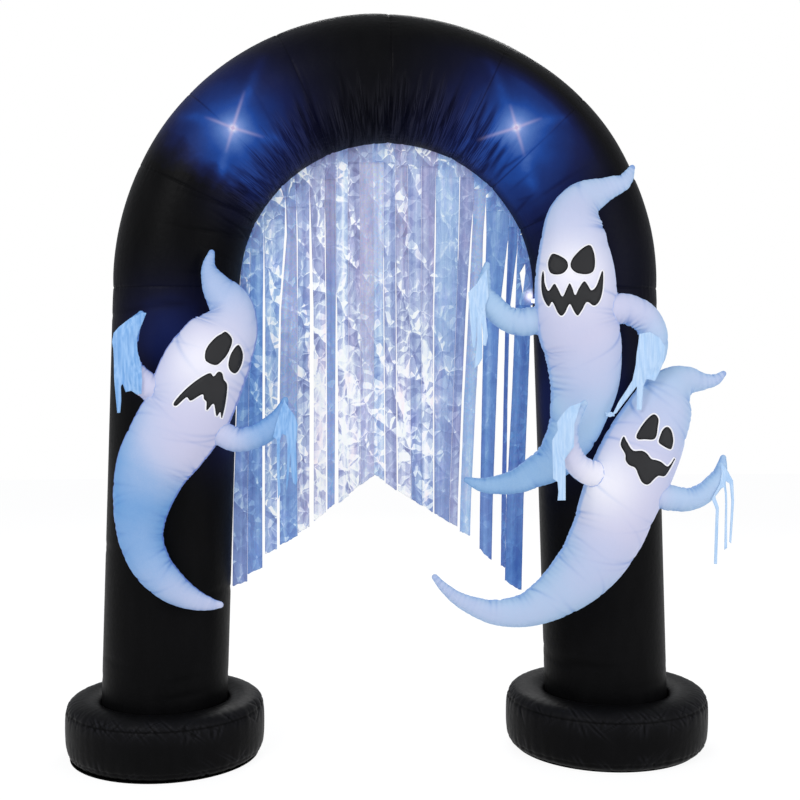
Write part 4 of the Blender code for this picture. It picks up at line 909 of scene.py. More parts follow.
def insideOutline(outline, spacing, hole=()):        # triangles over a flat outline, with points inside
    outline, hole = [tuple(map(float, p)) for p in outline], [tuple(map(float, p)) for p in hole]
    edges = np.array(outline + hole)
    (lowX, lowZ), (highX, highZ) = edges.min(0), edges.max(0)
    rows = np.arange(lowZ + spacing / 2, highZ, spacing * 0.87)
    spots = [(x, z) for row, z in enumerate(rows)
             for x in np.arange(lowX + spacing / (2 if row % 2 else 1.3), highX, spacing)]
    spots = np.array(spots) if spots else np.zeros((0, 2))
    spots = spots[holds(outline, spots)]
    near = np.array([np.min(np.hypot(*(edges - spot).T)) for spot in spots])
    spots = spots[near > spacing * 0.45] if len(spots) else spots
    count = len(outline)
    rim = [(count + k, count + (k + 1) % len(hole)) for k in range(len(hole))]
    made = delaunay_2d_cdt([Vector(p) for p in outline + hole] + [Vector(p) for p in spots], rim,
                           [list(range(count))], 1, 1e-6)
    points, faces = np.array([tuple(p) for p in made[0]]), [tuple(face) for face in made[2]]
    if hole:
        middles = np.array([points[list(face)].mean(0) for face in faces])
        faces = [face for face, cut in zip(faces, holds(hole, middles)) if not cut]
    return points, faces


def evenOutline(corners, spacing):        # a closed outline cut into short steps, corners kept
    points = []
    for one, two in zip(corners, corners[1:] + corners[:1]):
        steps = max(1, round(math.dist(one, two) / spacing))
        points += [(one[0] + (two[0] - one[0]) * k / steps, one[1] + (two[1] - one[1]) * k / steps)
                   for k in range(steps)]
    return points


def bandOutline():        # the half-round upper edge, then the lower edge along the strips' hems
    radius, spring = curtain["radius"], arch["springHeight"]
    arc = [(radius * math.cos(math.radians(a)), spring + radius * math.sin(math.radians(a)))
           for a in range(0, 181, 3)]
    hem = []
    owners = [number for number, count in enumerate(curtain["groups"], start=1) for _ in range(count)]
    tops = [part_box("curtain_strips_%02d" % owner)[1].z for owner in owners]
    last = len(tops) - 1
    for k, top in enumerate(tops):
        left, right = stripsAt(np.array([top]))[k, :2, 0]
        beside = min(k + 1, last)
        after = stripsAt(np.array([tops[beside]]))[beside, 0, 0]
        hem.append((-radius if k == 0 else left, top))
        if k == last:
            hem.append((radius, top))
        elif k + 1 in curtain["slits"]:
            hem += [(right, top), curtain["slits"][k + 1]]
        else:
            hem += [((right + after) / 2, height) for height in dict.fromkeys((top, tops[beside]))]
    return arc, hem


def makeBand():
    arc, hem = bandOutline()
    cell = curtain["bandCell"]
    flat, faces = insideOutline(evenOutline(arc + hem, cell), cell, evenOutline(curtain["kite"], cell))
    points = np.array([(x, archY - curtain["bandForward"], z) for x, z in flat])
    reach = np.hypot(points[:, 0], np.maximum(points[:, 2] - arch["springHeight"], 0))
    shape = stripsAt(np.minimum(points[:, 2], 2.0))
    owner = np.argmin(np.abs(shape[:, :2].mean(1) - points[:, 0]), 0)
    looks = shape[owner, :, np.arange(len(points))]
    tufts = sum(bell(points[:, 0] - x, 0.022) * bell(points[:, 2] - z - 0.012, 0.035)
                for x, z in curtain["slits"].values())
    toHem = np.array([min(abs(x - a) + abs(z - b) for a, b in hem) for x, z in flat])
    above = points[:, 2] - np.interp(points[:, 0], *zip(*hem))
    free = np.clip((curtain["radius"] - reach) * 40, 0, 1) * np.clip(np.minimum(toHem, above) / 0.03, 0, 1)
    points[:, 1] += crumple(points, 5) * free
    # tone: painted shadow near the arch's edge, painted highlights on the crinkled tufts at the slits' tops
    tone = looks[:, 3] - 0.04 + 0.10 * np.minimum(tufts, 1) - 0.16 * np.clip(1 - (0.534 - reach) / 0.03, 0, 1)
    values = {"tint": np.clip(looks[:, 2] + 0.1, 0, 1), "tone": tone, "rainbow": 0.1 + 0 * tone,
              "crush": np.clip(looks[:, 4] * 0.5 + 0.35 + 0.5 * tufts, 0, 0.9)}
    band = makePiece("curtainBand", points, faces, "film", replaced=("curtain_header",), values=values,
                     wall=curtain["bandWall"])


makeBand()
makeStrips()
print("curtain made")


# Ghosts
# body and arms: steps of 0.1 mm from the collar; faces: mm in the row frame
ghosts = {
    "leftGhost": {
        "node": "left_ghost", "paint": "leftGhost", "lean": 0.3,
        "body": ((1125, 5450, 119), (1038, 4913, 275), (1300, 4288, 525), (1750, 3625, 788), (1725, 2937, 1063),
                 (1350, 2200, 1325), (875, 1313, 1487), (325, 0, 1487), (-300, -1000, 1413),
                 (-863, -1900, 1263), (-1237, -2963, 1050), (-1375, -3950, 863), (-1275, -4775, 750),
                 (-900, -5575, 675), (-275, -6250, 562), (375, -6675, 400), (975, -6888, 238),
                 (1325, -6938, 125)),
        "arms": {
            "left": ((-413, 650, 0, 506), (-975, 863, 0, 473), (-1475, 1338, 0, 438), (-1700, 2025, 0, 403),
                     (-1562, 2700, 0, 336), (-1187, 3313, 0, 112)),
            "right": ((1000, -438, 0, 442), (1850, -938, 0, 444), (2463, -938, 0, 428), (3050, -663, 0, 410),
                      (3463, -213, 0, 307), (3675, 363, 0, 112)),
        },
        "spray": ((0.0, 0.75), (0.12, 0.55), (0.22, 0.12), (0.42, 0.06), (0.5, 0.26), (0.57, 0.7), (0.65, 0.95),
                  (0.76, 0.88), (0.88, 0.58), (1.0, 0.36)),
        "armBlueness": {"left": ((0, 0.0), (0.35, 0.15), (0.6, 0.9), (1, 1.0)),
                     "right": ((0, 0.1), (0.3, 0.45), (0.6, 0.85), (1, 0.95))},
        "shine": ((-0.66, 1.46, 0.11, 0.55), (-0.61, 1.5, 0.09, 0.2)),
        "face": {
            "bigEye": ((-572, 1570), (-552, 1543), (-566, 1499), (-590, 1469), (-610, 1458), (-640, 1472),
                       (-643, 1499), (-633, 1523), (-609, 1550), (-589, 1563)),
            "smallEye": ((-532, 1526), (-517, 1499), (-520, 1465), (-533, 1438), (-546, 1430), (-561, 1442),
                         (-565, 1465), (-555, 1499)),
            "mouth": ((-750, 1328), (-740, 1321), (-707, 1349), (-692, 1338), (-654, 1359), (-648, 1343),
                      (-640, 1333), (-639, 1305), (-616, 1327), (-607, 1286), (-594, 1299), (-589, 1278),
                      (-576, 1330), (-570, 1389), (-581, 1409), (-587, 1431), (-600, 1435), (-615, 1420),
                      (-628, 1431), (-662, 1414), (-701, 1384), (-732, 1353)),
        },
    },
    "upperGhost": {
        "node": "upper_ghost", "paint": "rightGhost", "lean": 0,
        "body": ((1750, 5112, 119), (1438, 4637, 300), (775, 4337, 430), (-13, 3937, 713), (-375, 3313, 993),
                 (-462, 2513, 1167), (-450, 1487, 1376), (-425, 513, 1447), (-350, -425, 1449),
                 (-150, -1363, 1365), (-75, -2425, 1237), (-200, -3363, 1063), (-475, -4337, 887),
                 (-1050, -5225, 725), (-1713, -5675, 575), (-2525, -6050, 431), (-3488, -6150, 287),
                 (-4113, -5975, 119)),
        "arms": {
            "left": ((-1375, -225, -450, 491), (-2200, -350, -260, 507), (-2838, -250, 0, 455),
                     (-3363, 200, 0, 425), (-3675, 750, 0, 314), (-3575, 1613, 0, 112)),
            "right": ((438, 75, 0, 530), (1275, 100, 0, 549), (1925, -175, 0, 532), (2275, -737, 0, 498),
                      (2288, -1400, 0, 475), (2150, -1925, 0, 363), (1963, -2300, 0, 143)),
        },
        "spray": ((0.0, 0.62), (0.14, 0.5), (0.24, 0.28), (0.34, 0.12), (0.48, 0.14), (0.58, 0.45),
                  (0.68, 0.75), (0.8, 0.95), (1.0, 1.0)),
        "armBlueness": {"left": ((0, 0.68), (1, 0.8)),
                     "right": ((0, 0.12), (0.35, 0.3), (0.6, 0.65), (1, 0.8))},
        "shine": ((0.61, 1.78, 0.11, 0.8),),
        "face": {
            "leftEye": ((545, 1838), (533, 1824), (528, 1800), (536, 1774), (558, 1767), (582, 1773),
                        (597, 1793), (592, 1815), (569, 1831)),
            "rightEye": ((672, 1868), (686, 1845), (691, 1811), (686, 1781), (665, 1769), (631, 1772),
                         (611, 1786), (606, 1805), (618, 1829), (645, 1856)),
            "mouth": ((511, 1779), (515, 1764), (517, 1738), (530, 1711), (550, 1735), (563, 1718), (579, 1692),
                      (595, 1723), (603, 1737), (612, 1723), (623, 1697), (636, 1721), (653, 1744), (666, 1732),
                      (678, 1714), (693, 1723), (705, 1750), (716, 1780), (720, 1763), (718, 1715), (708, 1678),
                      (689, 1661), (664, 1673), (647, 1646), (632, 1627), (619, 1642), (604, 1666), (588, 1637),
                      (576, 1626), (563, 1637), (544, 1673), (531, 1658), (514, 1683), (506, 1717),
                      (506, 1757)),
        },
    },
    "lowerGhost": {
        "node": "lower_ghost", "paint": "rightGhost", "lean": 0.12,
        "body": ((3912, 4188, 119), (3600, 3987, 225), (3150, 3925, 319), (2575, 3950, 528), (2075, 3750, 800),
                 (1650, 3275, 1063), (1250, 2587, 1222), (850, 1812, 1363), (450, 975, 1425), (100, 137, 1413),
                 (-163, -562, 1363), (-462, -1400, 1291), (-975, -2338, 1175), (-1600, -3100, 1025),
                 (-2425, -3787, 813), (-3337, -4225, 612), (-4437, -4288, 450), (-5500, -3925, 287),
                 (-6138, -3463, 187), (-6500, -3063, 119)),
        "arms": {
            "left": ((-688, 650, 0, 498), (-1363, 875, 300, 462), (-1837, 1300, 525, 419),
                     (-2088, 1925, 775, 371), (-2013, 2625, 863, 335), (-1562, 3263, 925, 112)),
            "right": ((750, 150, 0, 501), (1713, -137, 0, 466), (2425, -187, 0, 414), (3000, 88, 0, 377),
                      (3463, 663, 0, 270), (3600, 1263, 0, 112)),
        },
        "spray": ((0.0, 0.55), (0.12, 0.62), (0.22, 0.45), (0.3, 0.14), (0.48, 0.12), (0.58, 0.45), (0.7, 0.62),
                  (0.85, 0.55), (1.0, 0.5)),
        "armBlueness": {"left": ((0, 0.0), (0.45, 0.1), (0.7, 0.5), (1, 0.7)),
                     "right": ((0, 0.3), (0.3, 0.6), (1, 0.75))},
        "shine": ((0.725, 1.05, 0.12, 0.8),),
        "face": {
            "leftEye": ((903, 1284), (919, 1268), (917, 1240), (912, 1208), (900, 1196), (872, 1197),
                        (849, 1197), (842, 1209), (856, 1237), (880, 1268)),
            "rightEye": ((951, 1240), (965, 1226), (972, 1195), (968, 1169), (961, 1162), (941, 1171),
                         (922, 1185), (923, 1201), (935, 1230)),
            "mouth": ((797, 1207), (807, 1192), (822, 1167), (835, 1157), (862, 1157), (879, 1148), (895, 1129),
                      (914, 1124), (931, 1117), (951, 1102), (963, 1110), (978, 1131), (971, 1112), (953, 1080),
                      (941, 1068), (920, 1069), (904, 1056), (891, 1043), (878, 1039), (862, 1049), (850, 1073),
                      (839, 1097), (817, 1108), (805, 1124), (803, 1146), (787, 1178)),
        },
    },
}
ghostForm = {
    "depthRatio": 0.72, "ringSpacing": 0.0042, "bodySides": 112, "armSides": 72, "seamRadius": 0.0016,
    "sagDepth": 0.0012, "grooveDepth": 0.0016, "grooveWidth": 0.0035, "pleatDepth": 0.0019, "pleatReach": 0.019,
    "pleatSpacing": 0.016, "pleatWidth": 0.0042, "creaseDepth": 0.0115, "creaseSpacing": 0.022,
    "creaseWidth": 0.0056, "tuckSpacing": 0.022, "tuckDepth": (0.0010, 0.0030), "tuckWidth": (0.0042, 0.0062),
    "darkDepth": 0.0034, "backPlane": -0.24302, "armPlane": -0.36002,
}


def metres(rows, perMetre):
    return [tuple(value / perMetre for value in row) for row in rows]


def sweepFrame(rows, bodyLike):
    curve = curveThrough(rows, ghostForm["ringSpacing"])
    run = unit(np.gradient(curve[:, :2], axis=0))
    size = curve[:, -1]
    if bodyLike:
        depth = size * ghostForm["depthRatio"]
        y = archY + ghostForm["backPlane"] - depth
    else:
        depth = size
        y = archY + ghostForm["armPlane"] - curve[:, 2]
    ahead = np.stack([run[:, 0], 0 * y, run[:, 1]], -1)
    across = np.stack([-run[:, 1], 0 * y, run[:, 0]], -1)
    travel = travelAlong(curve[:, :2])
    bend = np.einsum("ij,ij->i", np.gradient(ahead, travel, axis=0), across)
    return {"centre": np.stack([curve[:, 0], y, curve[:, 1]], -1), "ahead": ahead, "across": across,
            "size": size, "depth": depth, "travel": travel, "bend": np.convolve(bend, np.ones(9) / 9, "same")}


def capped(rail):        # rounds both ends of a sweep: extra rings that shrink to a point
    steps = np.linspace(0, math.pi / 2, 6)[1:]
    shrink, reach, more = np.maximum(np.cos(steps), 0.02), np.sin(steps)[:, None], len(steps)
    grown = {key: np.concatenate([np.repeat(values[:1], more, 0), values, np.repeat(values[-1:], more, 0)])
             for key, values in rail.items()}
    push = grown["ahead"] * grown["size"][:, None]
    grown["centre"][:more] -= push[:more] * reach[::-1]
    grown["centre"][-more:] += push[-more:] * reach
    for key in ("size", "depth"):
        grown[key][:more] *= shrink[::-1]
        grown[key][-more:] *= shrink
    return grown


def sweepPoints(rail, sides, fold=0):
    angle = roundAngles(sides)
    size, depth = rail["size"][:, None] + fold, rail["depth"][:, None] + fold
    points = rail["centre"][:, None] + rail["across"][:, None] * (size * np.cos(angle))[..., None]
    points[..., 1] -= depth * np.sin(angle)
    return points


def ghostFolds(rail, sides, seed):
    angle, along = roundAngles(sides)[None], rail["travel"]
    travel, size = along[:, None], rail["size"][:, None]
    fold = ghostForm["sagDepth"] * wobble(seed, travel * 9, np.cos(angle) * 1.5, np.sin(angle) * 1.5)
    fold = fold * np.minimum(size / 0.05, 1)
    strength = np.minimum(size / 0.035, 1)
    # crease: painted shade in the pleats, tucks and inner bends, with a faint line along the seams
    crease = 0 * fold
    chance = random.Random(seed)
    for side, at in ((0, 0.0), (1, math.pi)):        # seams along both sides, with the pleats they gather
        offset = turned(angle - at) * size
        away = np.abs(offset)
        wave = creaseWave(seed + side, along, ghostForm["pleatSpacing"], ghostForm["pleatWidth"])[:, None]
        reach = ghostForm["pleatReach"] * (1 + 0.5 * wobble(seed + 5 + side, travel * 40))
        pleat = wave * np.exp(-away / reach)
        fold += ghostForm["pleatDepth"] * pleat * strength
        fold -= ghostForm["grooveDepth"] * bell(away, ghostForm["grooveWidth"]) * strength
        crease += np.clip(pleat * -1.05, 0, 1) + 0.45 * bell(away, 0.003)
        for _ in range(int(along[-1] / ghostForm["tuckSpacing"])):
            middle = chance.uniform(0, along[-1])
            local = float(np.interp(middle, along, rail["size"]))
            run = chance.uniform(0.25, 1.15) * local
            tilt, heading = chance.uniform(-0.55, 0.55), chance.choice((-1, 1))
            depth = chance.uniform(*ghostForm["tuckDepth"]) * min(local / 0.06, 1)
            near = np.abs(along - middle) < 0.12
            aside = offset[near] * heading
            shape = bell(travel[near] - middle - tilt * aside, chance.uniform(*ghostForm["tuckWidth"]))
            shape = shape * bell(aside, run) * np.clip(aside / 0.01 + 1, 0, 1)
            fold[near] -= depth * shape
            crease[near] += depth / ghostForm["darkDepth"] * shape
    bend = rail["bend"][:, None]        # folds across the inner side of each bend
    squeeze = np.maximum(bend * np.cos(angle), 0) * size
    wave = creaseWave(seed + 3, along, ghostForm["creaseSpacing"], ghostForm["creaseWidth"])
    wave = np.interp(travel + 0.010 * np.sin(angle * 1.5 + seed), along, wave)
    wave = wave * np.clip(np.cos(angle) * np.sign(bend) + 0.25, 0, 1)
    fold += ghostForm["creaseDepth"] * wave * np.clip(squeeze * 1.4 - 0.10, 0, 0.55)
    crease += np.clip(-wave * np.clip(squeeze * 2.2 - 0.15, 0, 0.8), 0, 1)
    return fold, np.clip(crease, 0, 1)


def makeSkin(name, rail, sides, ghost, seed, bluenessRows, node, lean=0, slot=None):
    fold, crease = ghostFolds(rail, sides, seed)
    points = sweepPoints(rail, sides, fold).reshape(-1, 3)
    angle = roundAngles(sides)[None]
    edge = np.abs(np.cos(angle))
    share = rail["travel"][:, None] / rail["travel"][-1]
    spray = np.interp(share, *zip(*bluenessRows)) + 0 * fold
    # bluer towards the sides: painted shade, as the light from inside leaves the middle brighter
    spray = spray + 0.22 * (edge ** 3 - 0.35) * (0.4 + 0.6 * (spray > 0.1))
    spray = spray - lean * np.cos(angle) * bell(share - 0.47, 0.13)
    # shine: painted pools of light from inside, on the front only
    shine = sum(strength * np.exp(-((points[:, 0] - x) ** 2 + (points[:, 2] - z) ** 2) / radius ** 2)
                for x, z, radius, strength in ghost["shine"])
    shine = shine * np.clip((archY - 0.22 - points[:, 1]) * 8, 0, 1) * 0.9
    values = {"spray": np.clip(spray, 0, 1), "shine": shine, "crease": crease,
              "rim": np.clip((edge - 0.955) * 60, 0, 1) + 0 * fold}
    return makePiece(name, points, lattice(len(share), sides) + tubeEnds(len(share), sides), ghost["paint"],
                     replaced=(node,), values=values, slot=slot)


def outside(tree, point):
    place, normal, _, _ = tree.find_nearest(Vector(point))
    return (Vector(point) - place).dot(normal) > 0


def shoulderSeam(name, rail, sides, bodyTree):        # thread where the sleeve comes out of the body
    points = sweepPoints(rail, sides)
    loop, missing = [], 0
    for k in range(0, sides, 2):
        for ring in range(len(points) - 1):
            if outside(bodyTree, points[ring + 1, k]) and not outside(bodyTree, points[ring, k]):
                loop.append(points[ring, k] * 0.5 + points[ring + 1, k] * 0.5)
                break
        else:
            missing = missing or len(loop)
    whole = len(loop) == sides // 2
    if len(loop) >= sides // 6:
        path = loop if whole else loop[missing:] + loop[:missing]
        makePiece(name, *tubeAlong(path, ghostForm["seamRadius"], closed=whole), "seamThread")


ghostTrees = {}
for ghostNumber, (ghostName, ghost) in enumerate(ghosts.items()):
    low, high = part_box(ghost["node"] + "_air_collar")
    portX, portZ = (low.x + high.x) / 2, (low.z + high.z) / 2
    seed = 200 + 60 * ghostNumber
    bodyRows = [(x + portX, z + portZ, half) for x, z, half in metres(ghost["body"], 10000)]
    body = makeSkin(ghostName + "Body", capped(sweepFrame(bodyRows, True)), ghostForm["bodySides"], ghost, seed,
                    ghost["spray"], ghost["node"] + "_body", ghost["lean"])
    ghostTrees[ghostName] = treeOf(body)
    for hand, rows in ghost["arms"].items():
        armRows = [(x + portX, z + portZ, forward, radius) for x, z, forward, radius in metres(rows, 10000)]
        armRail = capped(sweepFrame(armRows, False))
        pieceName = ghostName + hand.capitalize()
        arm = makeSkin(pieceName + "Arm", armRail, ghostForm["armSides"], ghost, seed + 7,
                       ghost["armBlueness"][hand], "%s_%s_arm" % (ghost["node"], hand), slot="blue_nylon")
        shoulderSeam(pieceName + "Shoulder", armRail, ghostForm["armSides"], ghostTrees[ghostName])
        ghostTrees[pieceName + "Arm"] = treeOf(arm)
print("ghost skins made")


# Camera, as far from the arch as the photograph's
view = {"spot": (-0.2896, archY - 4.7915, 1.5762), "down": 3.1063, "turn": -4.0081, "lens": 57.90}


def makeCamera():
    lens = bpy.data.cameras.new("photoView")
    lens.lens = view["lens"]
    lens.sensor_width = 36
    camera = bpy.data.objects.new("photoView", lens)
    camera.location = view["spot"]
    camera.rotation_euler = (math.radians(90 - view["down"]), 0, math.radians(view["turn"]))
    bpy.context.scene.collection.objects.link(camera)
    bpy.context.scene.camera = camera


makeCamera()


# Printed faces: three thin layers of ink that lie on the skin, each with how far it is grown
face = {
    "layers": (("FaceHalo", "inkHalo", 0.0052), ("FaceEdge", "inkEdge", 0.0), ("FaceInk", "ink", -0.0036)),
    "lift": 0.0005, "wall": 0.0003, "step": 0.0030, "spacing": 0.010, "plane": -0.40,
}


def grown(outline, amount):
    before, after = np.roll(outline, 1, 0), np.roll(outline, -1, 0)
    along = unit(after - before)
    area = 0.5 * np.sum(outline[:, 0] * after[:, 1] - after[:, 0] * outline[:, 1])
    out = np.stack([along[:, 1], -along[:, 0]], -1) * (1 if area > 0 else -1)
    return outline + out * amount


def makeFace(ghostName, ghost):
    tree = ghostTrees[ghostName]
    eye = Vector(view["spot"])
    for layer, (name, paint, amount) in enumerate(face["layers"], start=1):
        points, faces = [], []
        for corners in ghost["face"].values():
            outline = grown(curveThrough(metres(corners, 1000), face["step"], closed=True), amount)
            flat, triangles = insideOutline(outline, face["spacing"])
            faces += [tuple(len(points) + k for k in triangle) for triangle in triangles]
            for x, z in flat:
                spot = Vector((x, archY + face["plane"], z))
                place, normal, _, _ = tree.ray_cast(eye, (spot - eye).normalized())
                points.append(place + normal * face["lift"] * layer if place else spot)
        makePiece(ghostName + name, points, faces, paint, wall=face["wall"])


for ghostName, ghost in ghosts.items():
    makeFace(ghostName, ghost)
print("faces printed")


# Torn cloth at the hands: outlines as seen from the front, x and z in millimetres
handCloths = {
    "leftGhostLeftHand": ("left_ghost_left_hand_cloth", "leftCloth", (
        (-838, 1634), (-851, 1636), (-895, 1617), (-931, 1587), (-948, 1567), (-954, 1537), (-951, 1513),
        (-947, 1426), (-941, 1348), (-937, 1298), (-927, 1299), (-923, 1341), (-924, 1389), (-919, 1395),
        (-909, 1368), (-891, 1372), (-872, 1359), (-856, 1361), (-852, 1409), (-857, 1456), (-869, 1503),
        (-873, 1550), (-859, 1587))),
    "leftGhostRightHand": ("left_ghost_right_hand_cloth", "leftCloth", (
        (-376, 1339), (-371, 1326), (-357, 1305), (-341, 1285), (-331, 1254), (-338, 1186), (-336, 1117),
        (-333, 1066), (-338, 1047), (-348, 1056), (-355, 1100), (-356, 1162), (-360, 1114), (-364, 1066),
        (-370, 1028), (-372, 1053), (-368, 1128), (-367, 1186), (-371, 1217), (-385, 1224), (-392, 1200),
        (-393, 1101), (-391, 1025), (-400, 998), (-403, 1101), (-403, 1203), (-416, 1213), (-405, 1258),
        (-389, 1309))),
    "upperGhostLeftHand": ("upper_ghost_left_hand_cloth", "rightCloth", (
        (319, 1788), (305, 1768), (283, 1737), (252, 1705), (257, 1611), (266, 1519), (275, 1512), (280, 1577),
        (280, 1625), (282, 1543), (272, 1444), (289, 1460), (300, 1481), (299, 1543), (297, 1604), (302, 1560),
        (301, 1525), (313, 1522), (319, 1556), (312, 1618), (312, 1662), (323, 1693), (321, 1734))),
    "upperGhostRightHand": ("upper_ghost_right_hand_cloth", "rightCloth", (
        (848, 1563), (844, 1528), (839, 1501), (835, 1459), (822, 1404), (801, 1370), (774, 1328), (751, 1280),
        (767, 1290), (795, 1328), (819, 1359), (838, 1383), (838, 1300), (856, 1300), (861, 1383), (878, 1407),
        (903, 1400), (924, 1432), (937, 1473), (939, 1518), (919, 1549), (883, 1570))),
    "lowerGhostLeftHand": ("lower_ghost_left_hand_cloth", "rightCloth", (
        (633, 1331), (592, 1318), (568, 1294), (547, 1263), (551, 1236), (531, 1202), (533, 1072), (549, 1061),
        (552, 1027), (549, 998), (577, 998), (577, 1030), (576, 1133), (607, 1181), (606, 1256), (623, 1304))),
    "lowerGhostRightHand": ("lower_ghost_right_hand_cloth", "rightCloth", (
        (1149, 1113), (1162, 1099), (1176, 1078), (1188, 1050), (1189, 983), (1181, 830), (1174, 835),
        (1179, 983), (1175, 1040), (1165, 1047), (1165, 983), (1167, 814), (1157, 807), (1158, 948),
        (1157, 1026), (1141, 1019), (1126, 994), (1136, 956), (1132, 757), (1121, 758), (1125, 949),
        (1113, 987), (1124, 1008), (1141, 1036), (1150, 1075))),
}
clothForm = {"cell": 0.006, "lift": 0.0028, "blendRun": 0.03, "ripple": 0.0016, "sway": 0.005, "wall": 0.0005,
             "hangRun": 0.08, "smoothings": 14}


def makeHandCloth(name, node, paint, corners, seed):
    low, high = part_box(node)
    arm = name.replace("Hand", "Arm")
    plane = (low.y + high.y) / 2
    flat, faces = insideOutline(evenOutline(metres(corners, 1000), clothForm["cell"]), clothForm["cell"])
    y, limit = np.full(len(flat), plane), np.full(len(flat), 9.0)
    for k, (x, z) in enumerate(flat):        # in front of the sleeve
        place, normal, _, _ = ghostTrees[arm].ray_cast(Vector((x, archY - 1, z)), Vector((0, 1, 0)))
        if place:
            y[k] = limit[k] = place.y - clothForm["lift"]
    pairs = np.array([(a, b) for face in faces for a, b in zip(face, face[1:] + face[:1])])
    for _ in range(clothForm["smoothings"]):
        total, count = np.zeros(len(y)), np.zeros(len(y))
        np.add.at(total, pairs[:, 0], y[pairs[:, 1]])
        np.add.at(total, pairs[:, 1], y[pairs[:, 0]])
        np.add.at(count, pairs.ravel(), 1)
        y = np.minimum(0.5 * y + 0.5 * total / np.maximum(count, 1), limit)
    hang = np.clip((high.z - flat[:, 1]) / clothForm["hangRun"], 0, 1)
    y -= clothForm["ripple"] * (1.5 + wobble(seed, flat[:, 0] * 60, flat[:, 1] * 9)) * (0.3 + hang)
    y -= clothForm["sway"] * hang * (1 + wobble(seed + 4, flat[:, 0] * 20, flat[:, 1] * 7))
    points = np.stack([flat[:, 0], y, flat[:, 1]], -1)
    piece = makePiece(name, points, faces, paint, body=None, replaced=(node,),
                      values={"crease": np.clip(0.5 - 0.5 * hang, 0, 1)}, wall=clothForm["wall"])
    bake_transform(piece)


for number, (clothName, (node, paint, corners)) in enumerate(handCloths.items()):
    makeHandCloth(clothName, node, paint, corners, 300 + 20 * number)
print("hand cloths made")


# Fittings: moulded parts keep their shape and get finer materials, soft ones are sewn anew
fittings = {
    "keptShapes": {
        "lens": ("left_crown_lamp", "right_crown_lamp", "left_ghost_lamp", "upper_ghost_lamp",
                 "lower_ghost_lamp", "curtain_spotlight"),
        "blackPlastic": ("fan_housing", "fan_grille", "power_inlet"),
        "greyPlastic": ("fan_impeller", "fan_motor"),
        "zinc": ("zipper_slider", "zipper_pull"),
    },
    "collars": {"leftGhostCollar": "left_ghost_air_collar", "upperGhostCollar": "upper_ghost_air_collar",
                "lowerGhostCollar": "lower_ghost_air_collar", "fanCollar": "fan_collar"},
    # what the tab is sewn to, the ways its length and width run, both sizes
    "tabs": {"leftStakeTab": ("leftBase", (-0.5, 0.866, 0), (0.866, 0.5, 0), 0.070, 0.050),
             "rightStakeTab": ("rightBase", (0.5, 0.866, 0), (0.866, -0.5, 0), 0.070, 0.050),
             "leftTetherTab": ("archSkin", (0, 1, 0), (0, 0, 1), 0.046, 0.040),
             "rightTetherTab": ("archSkin", (0, 1, 0), (0, 0, 1), 0.046, 0.040)},
    "cordSides": 6,
}
for paint, nodes in fittings["keptShapes"].items():
    for node in nodes:
        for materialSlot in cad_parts[node].material_slots:
            materialSlot.material = paints[paint].material


collar = {
    "rings": 26, "sides": 96, "ends": 0.955, "swell": 0.04, "gathers": 13, "gatherDepth": 0.02, "wall": 0.0006,
}


def makeCollar(name, node):        # short sleeve, gathered at both ends
    low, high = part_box(node)
    middle, radius = (low + high) / 2, (high.x - low.x) / 2
    rings, sides = collar["rings"], collar["sides"]
    y = np.linspace(low.y, high.y, rings)[:, None]
    turn = roundAngles(sides)[None]
    toEnd = np.minimum(y - low.y, high.y - y) / (high.y - low.y)
    gather = np.abs(np.sin(turn * collar["gathers"] + wobble(7, y * 9)))
    reach = radius * (collar["ends"] + collar["swell"] * np.sin(math.pi * np.clip(toEnd * 2, 0, 1))
                      - collar["gatherDepth"] * (1 - toEnd) * gather)
    points = np.stack([middle.x + reach * np.cos(turn), y + 0 * turn, middle.z + reach * np.sin(turn)], -1)
    makePiece(name, points.reshape(-1, 3), lattice(rings, sides), "blackNylon", replaced=(node,),
              wall=collar["wall"])


tabForm = {
    "rows": 30, "columns": 22, "rounding": 0.10, "wave": 0.0006, "wall": 0.0018,
    "rings": 40, "sides": 12, "eyelet": 0.0080, "rimWidth": 0.0022, "rimHeight": 0.0016,
    "stitches": (-0.42, -0.34), "stitchEnd": 0.42, "stitchSteps": 25, "stitchLift": (0.0016, 0.0019),
    "thread": 0.0004,
}


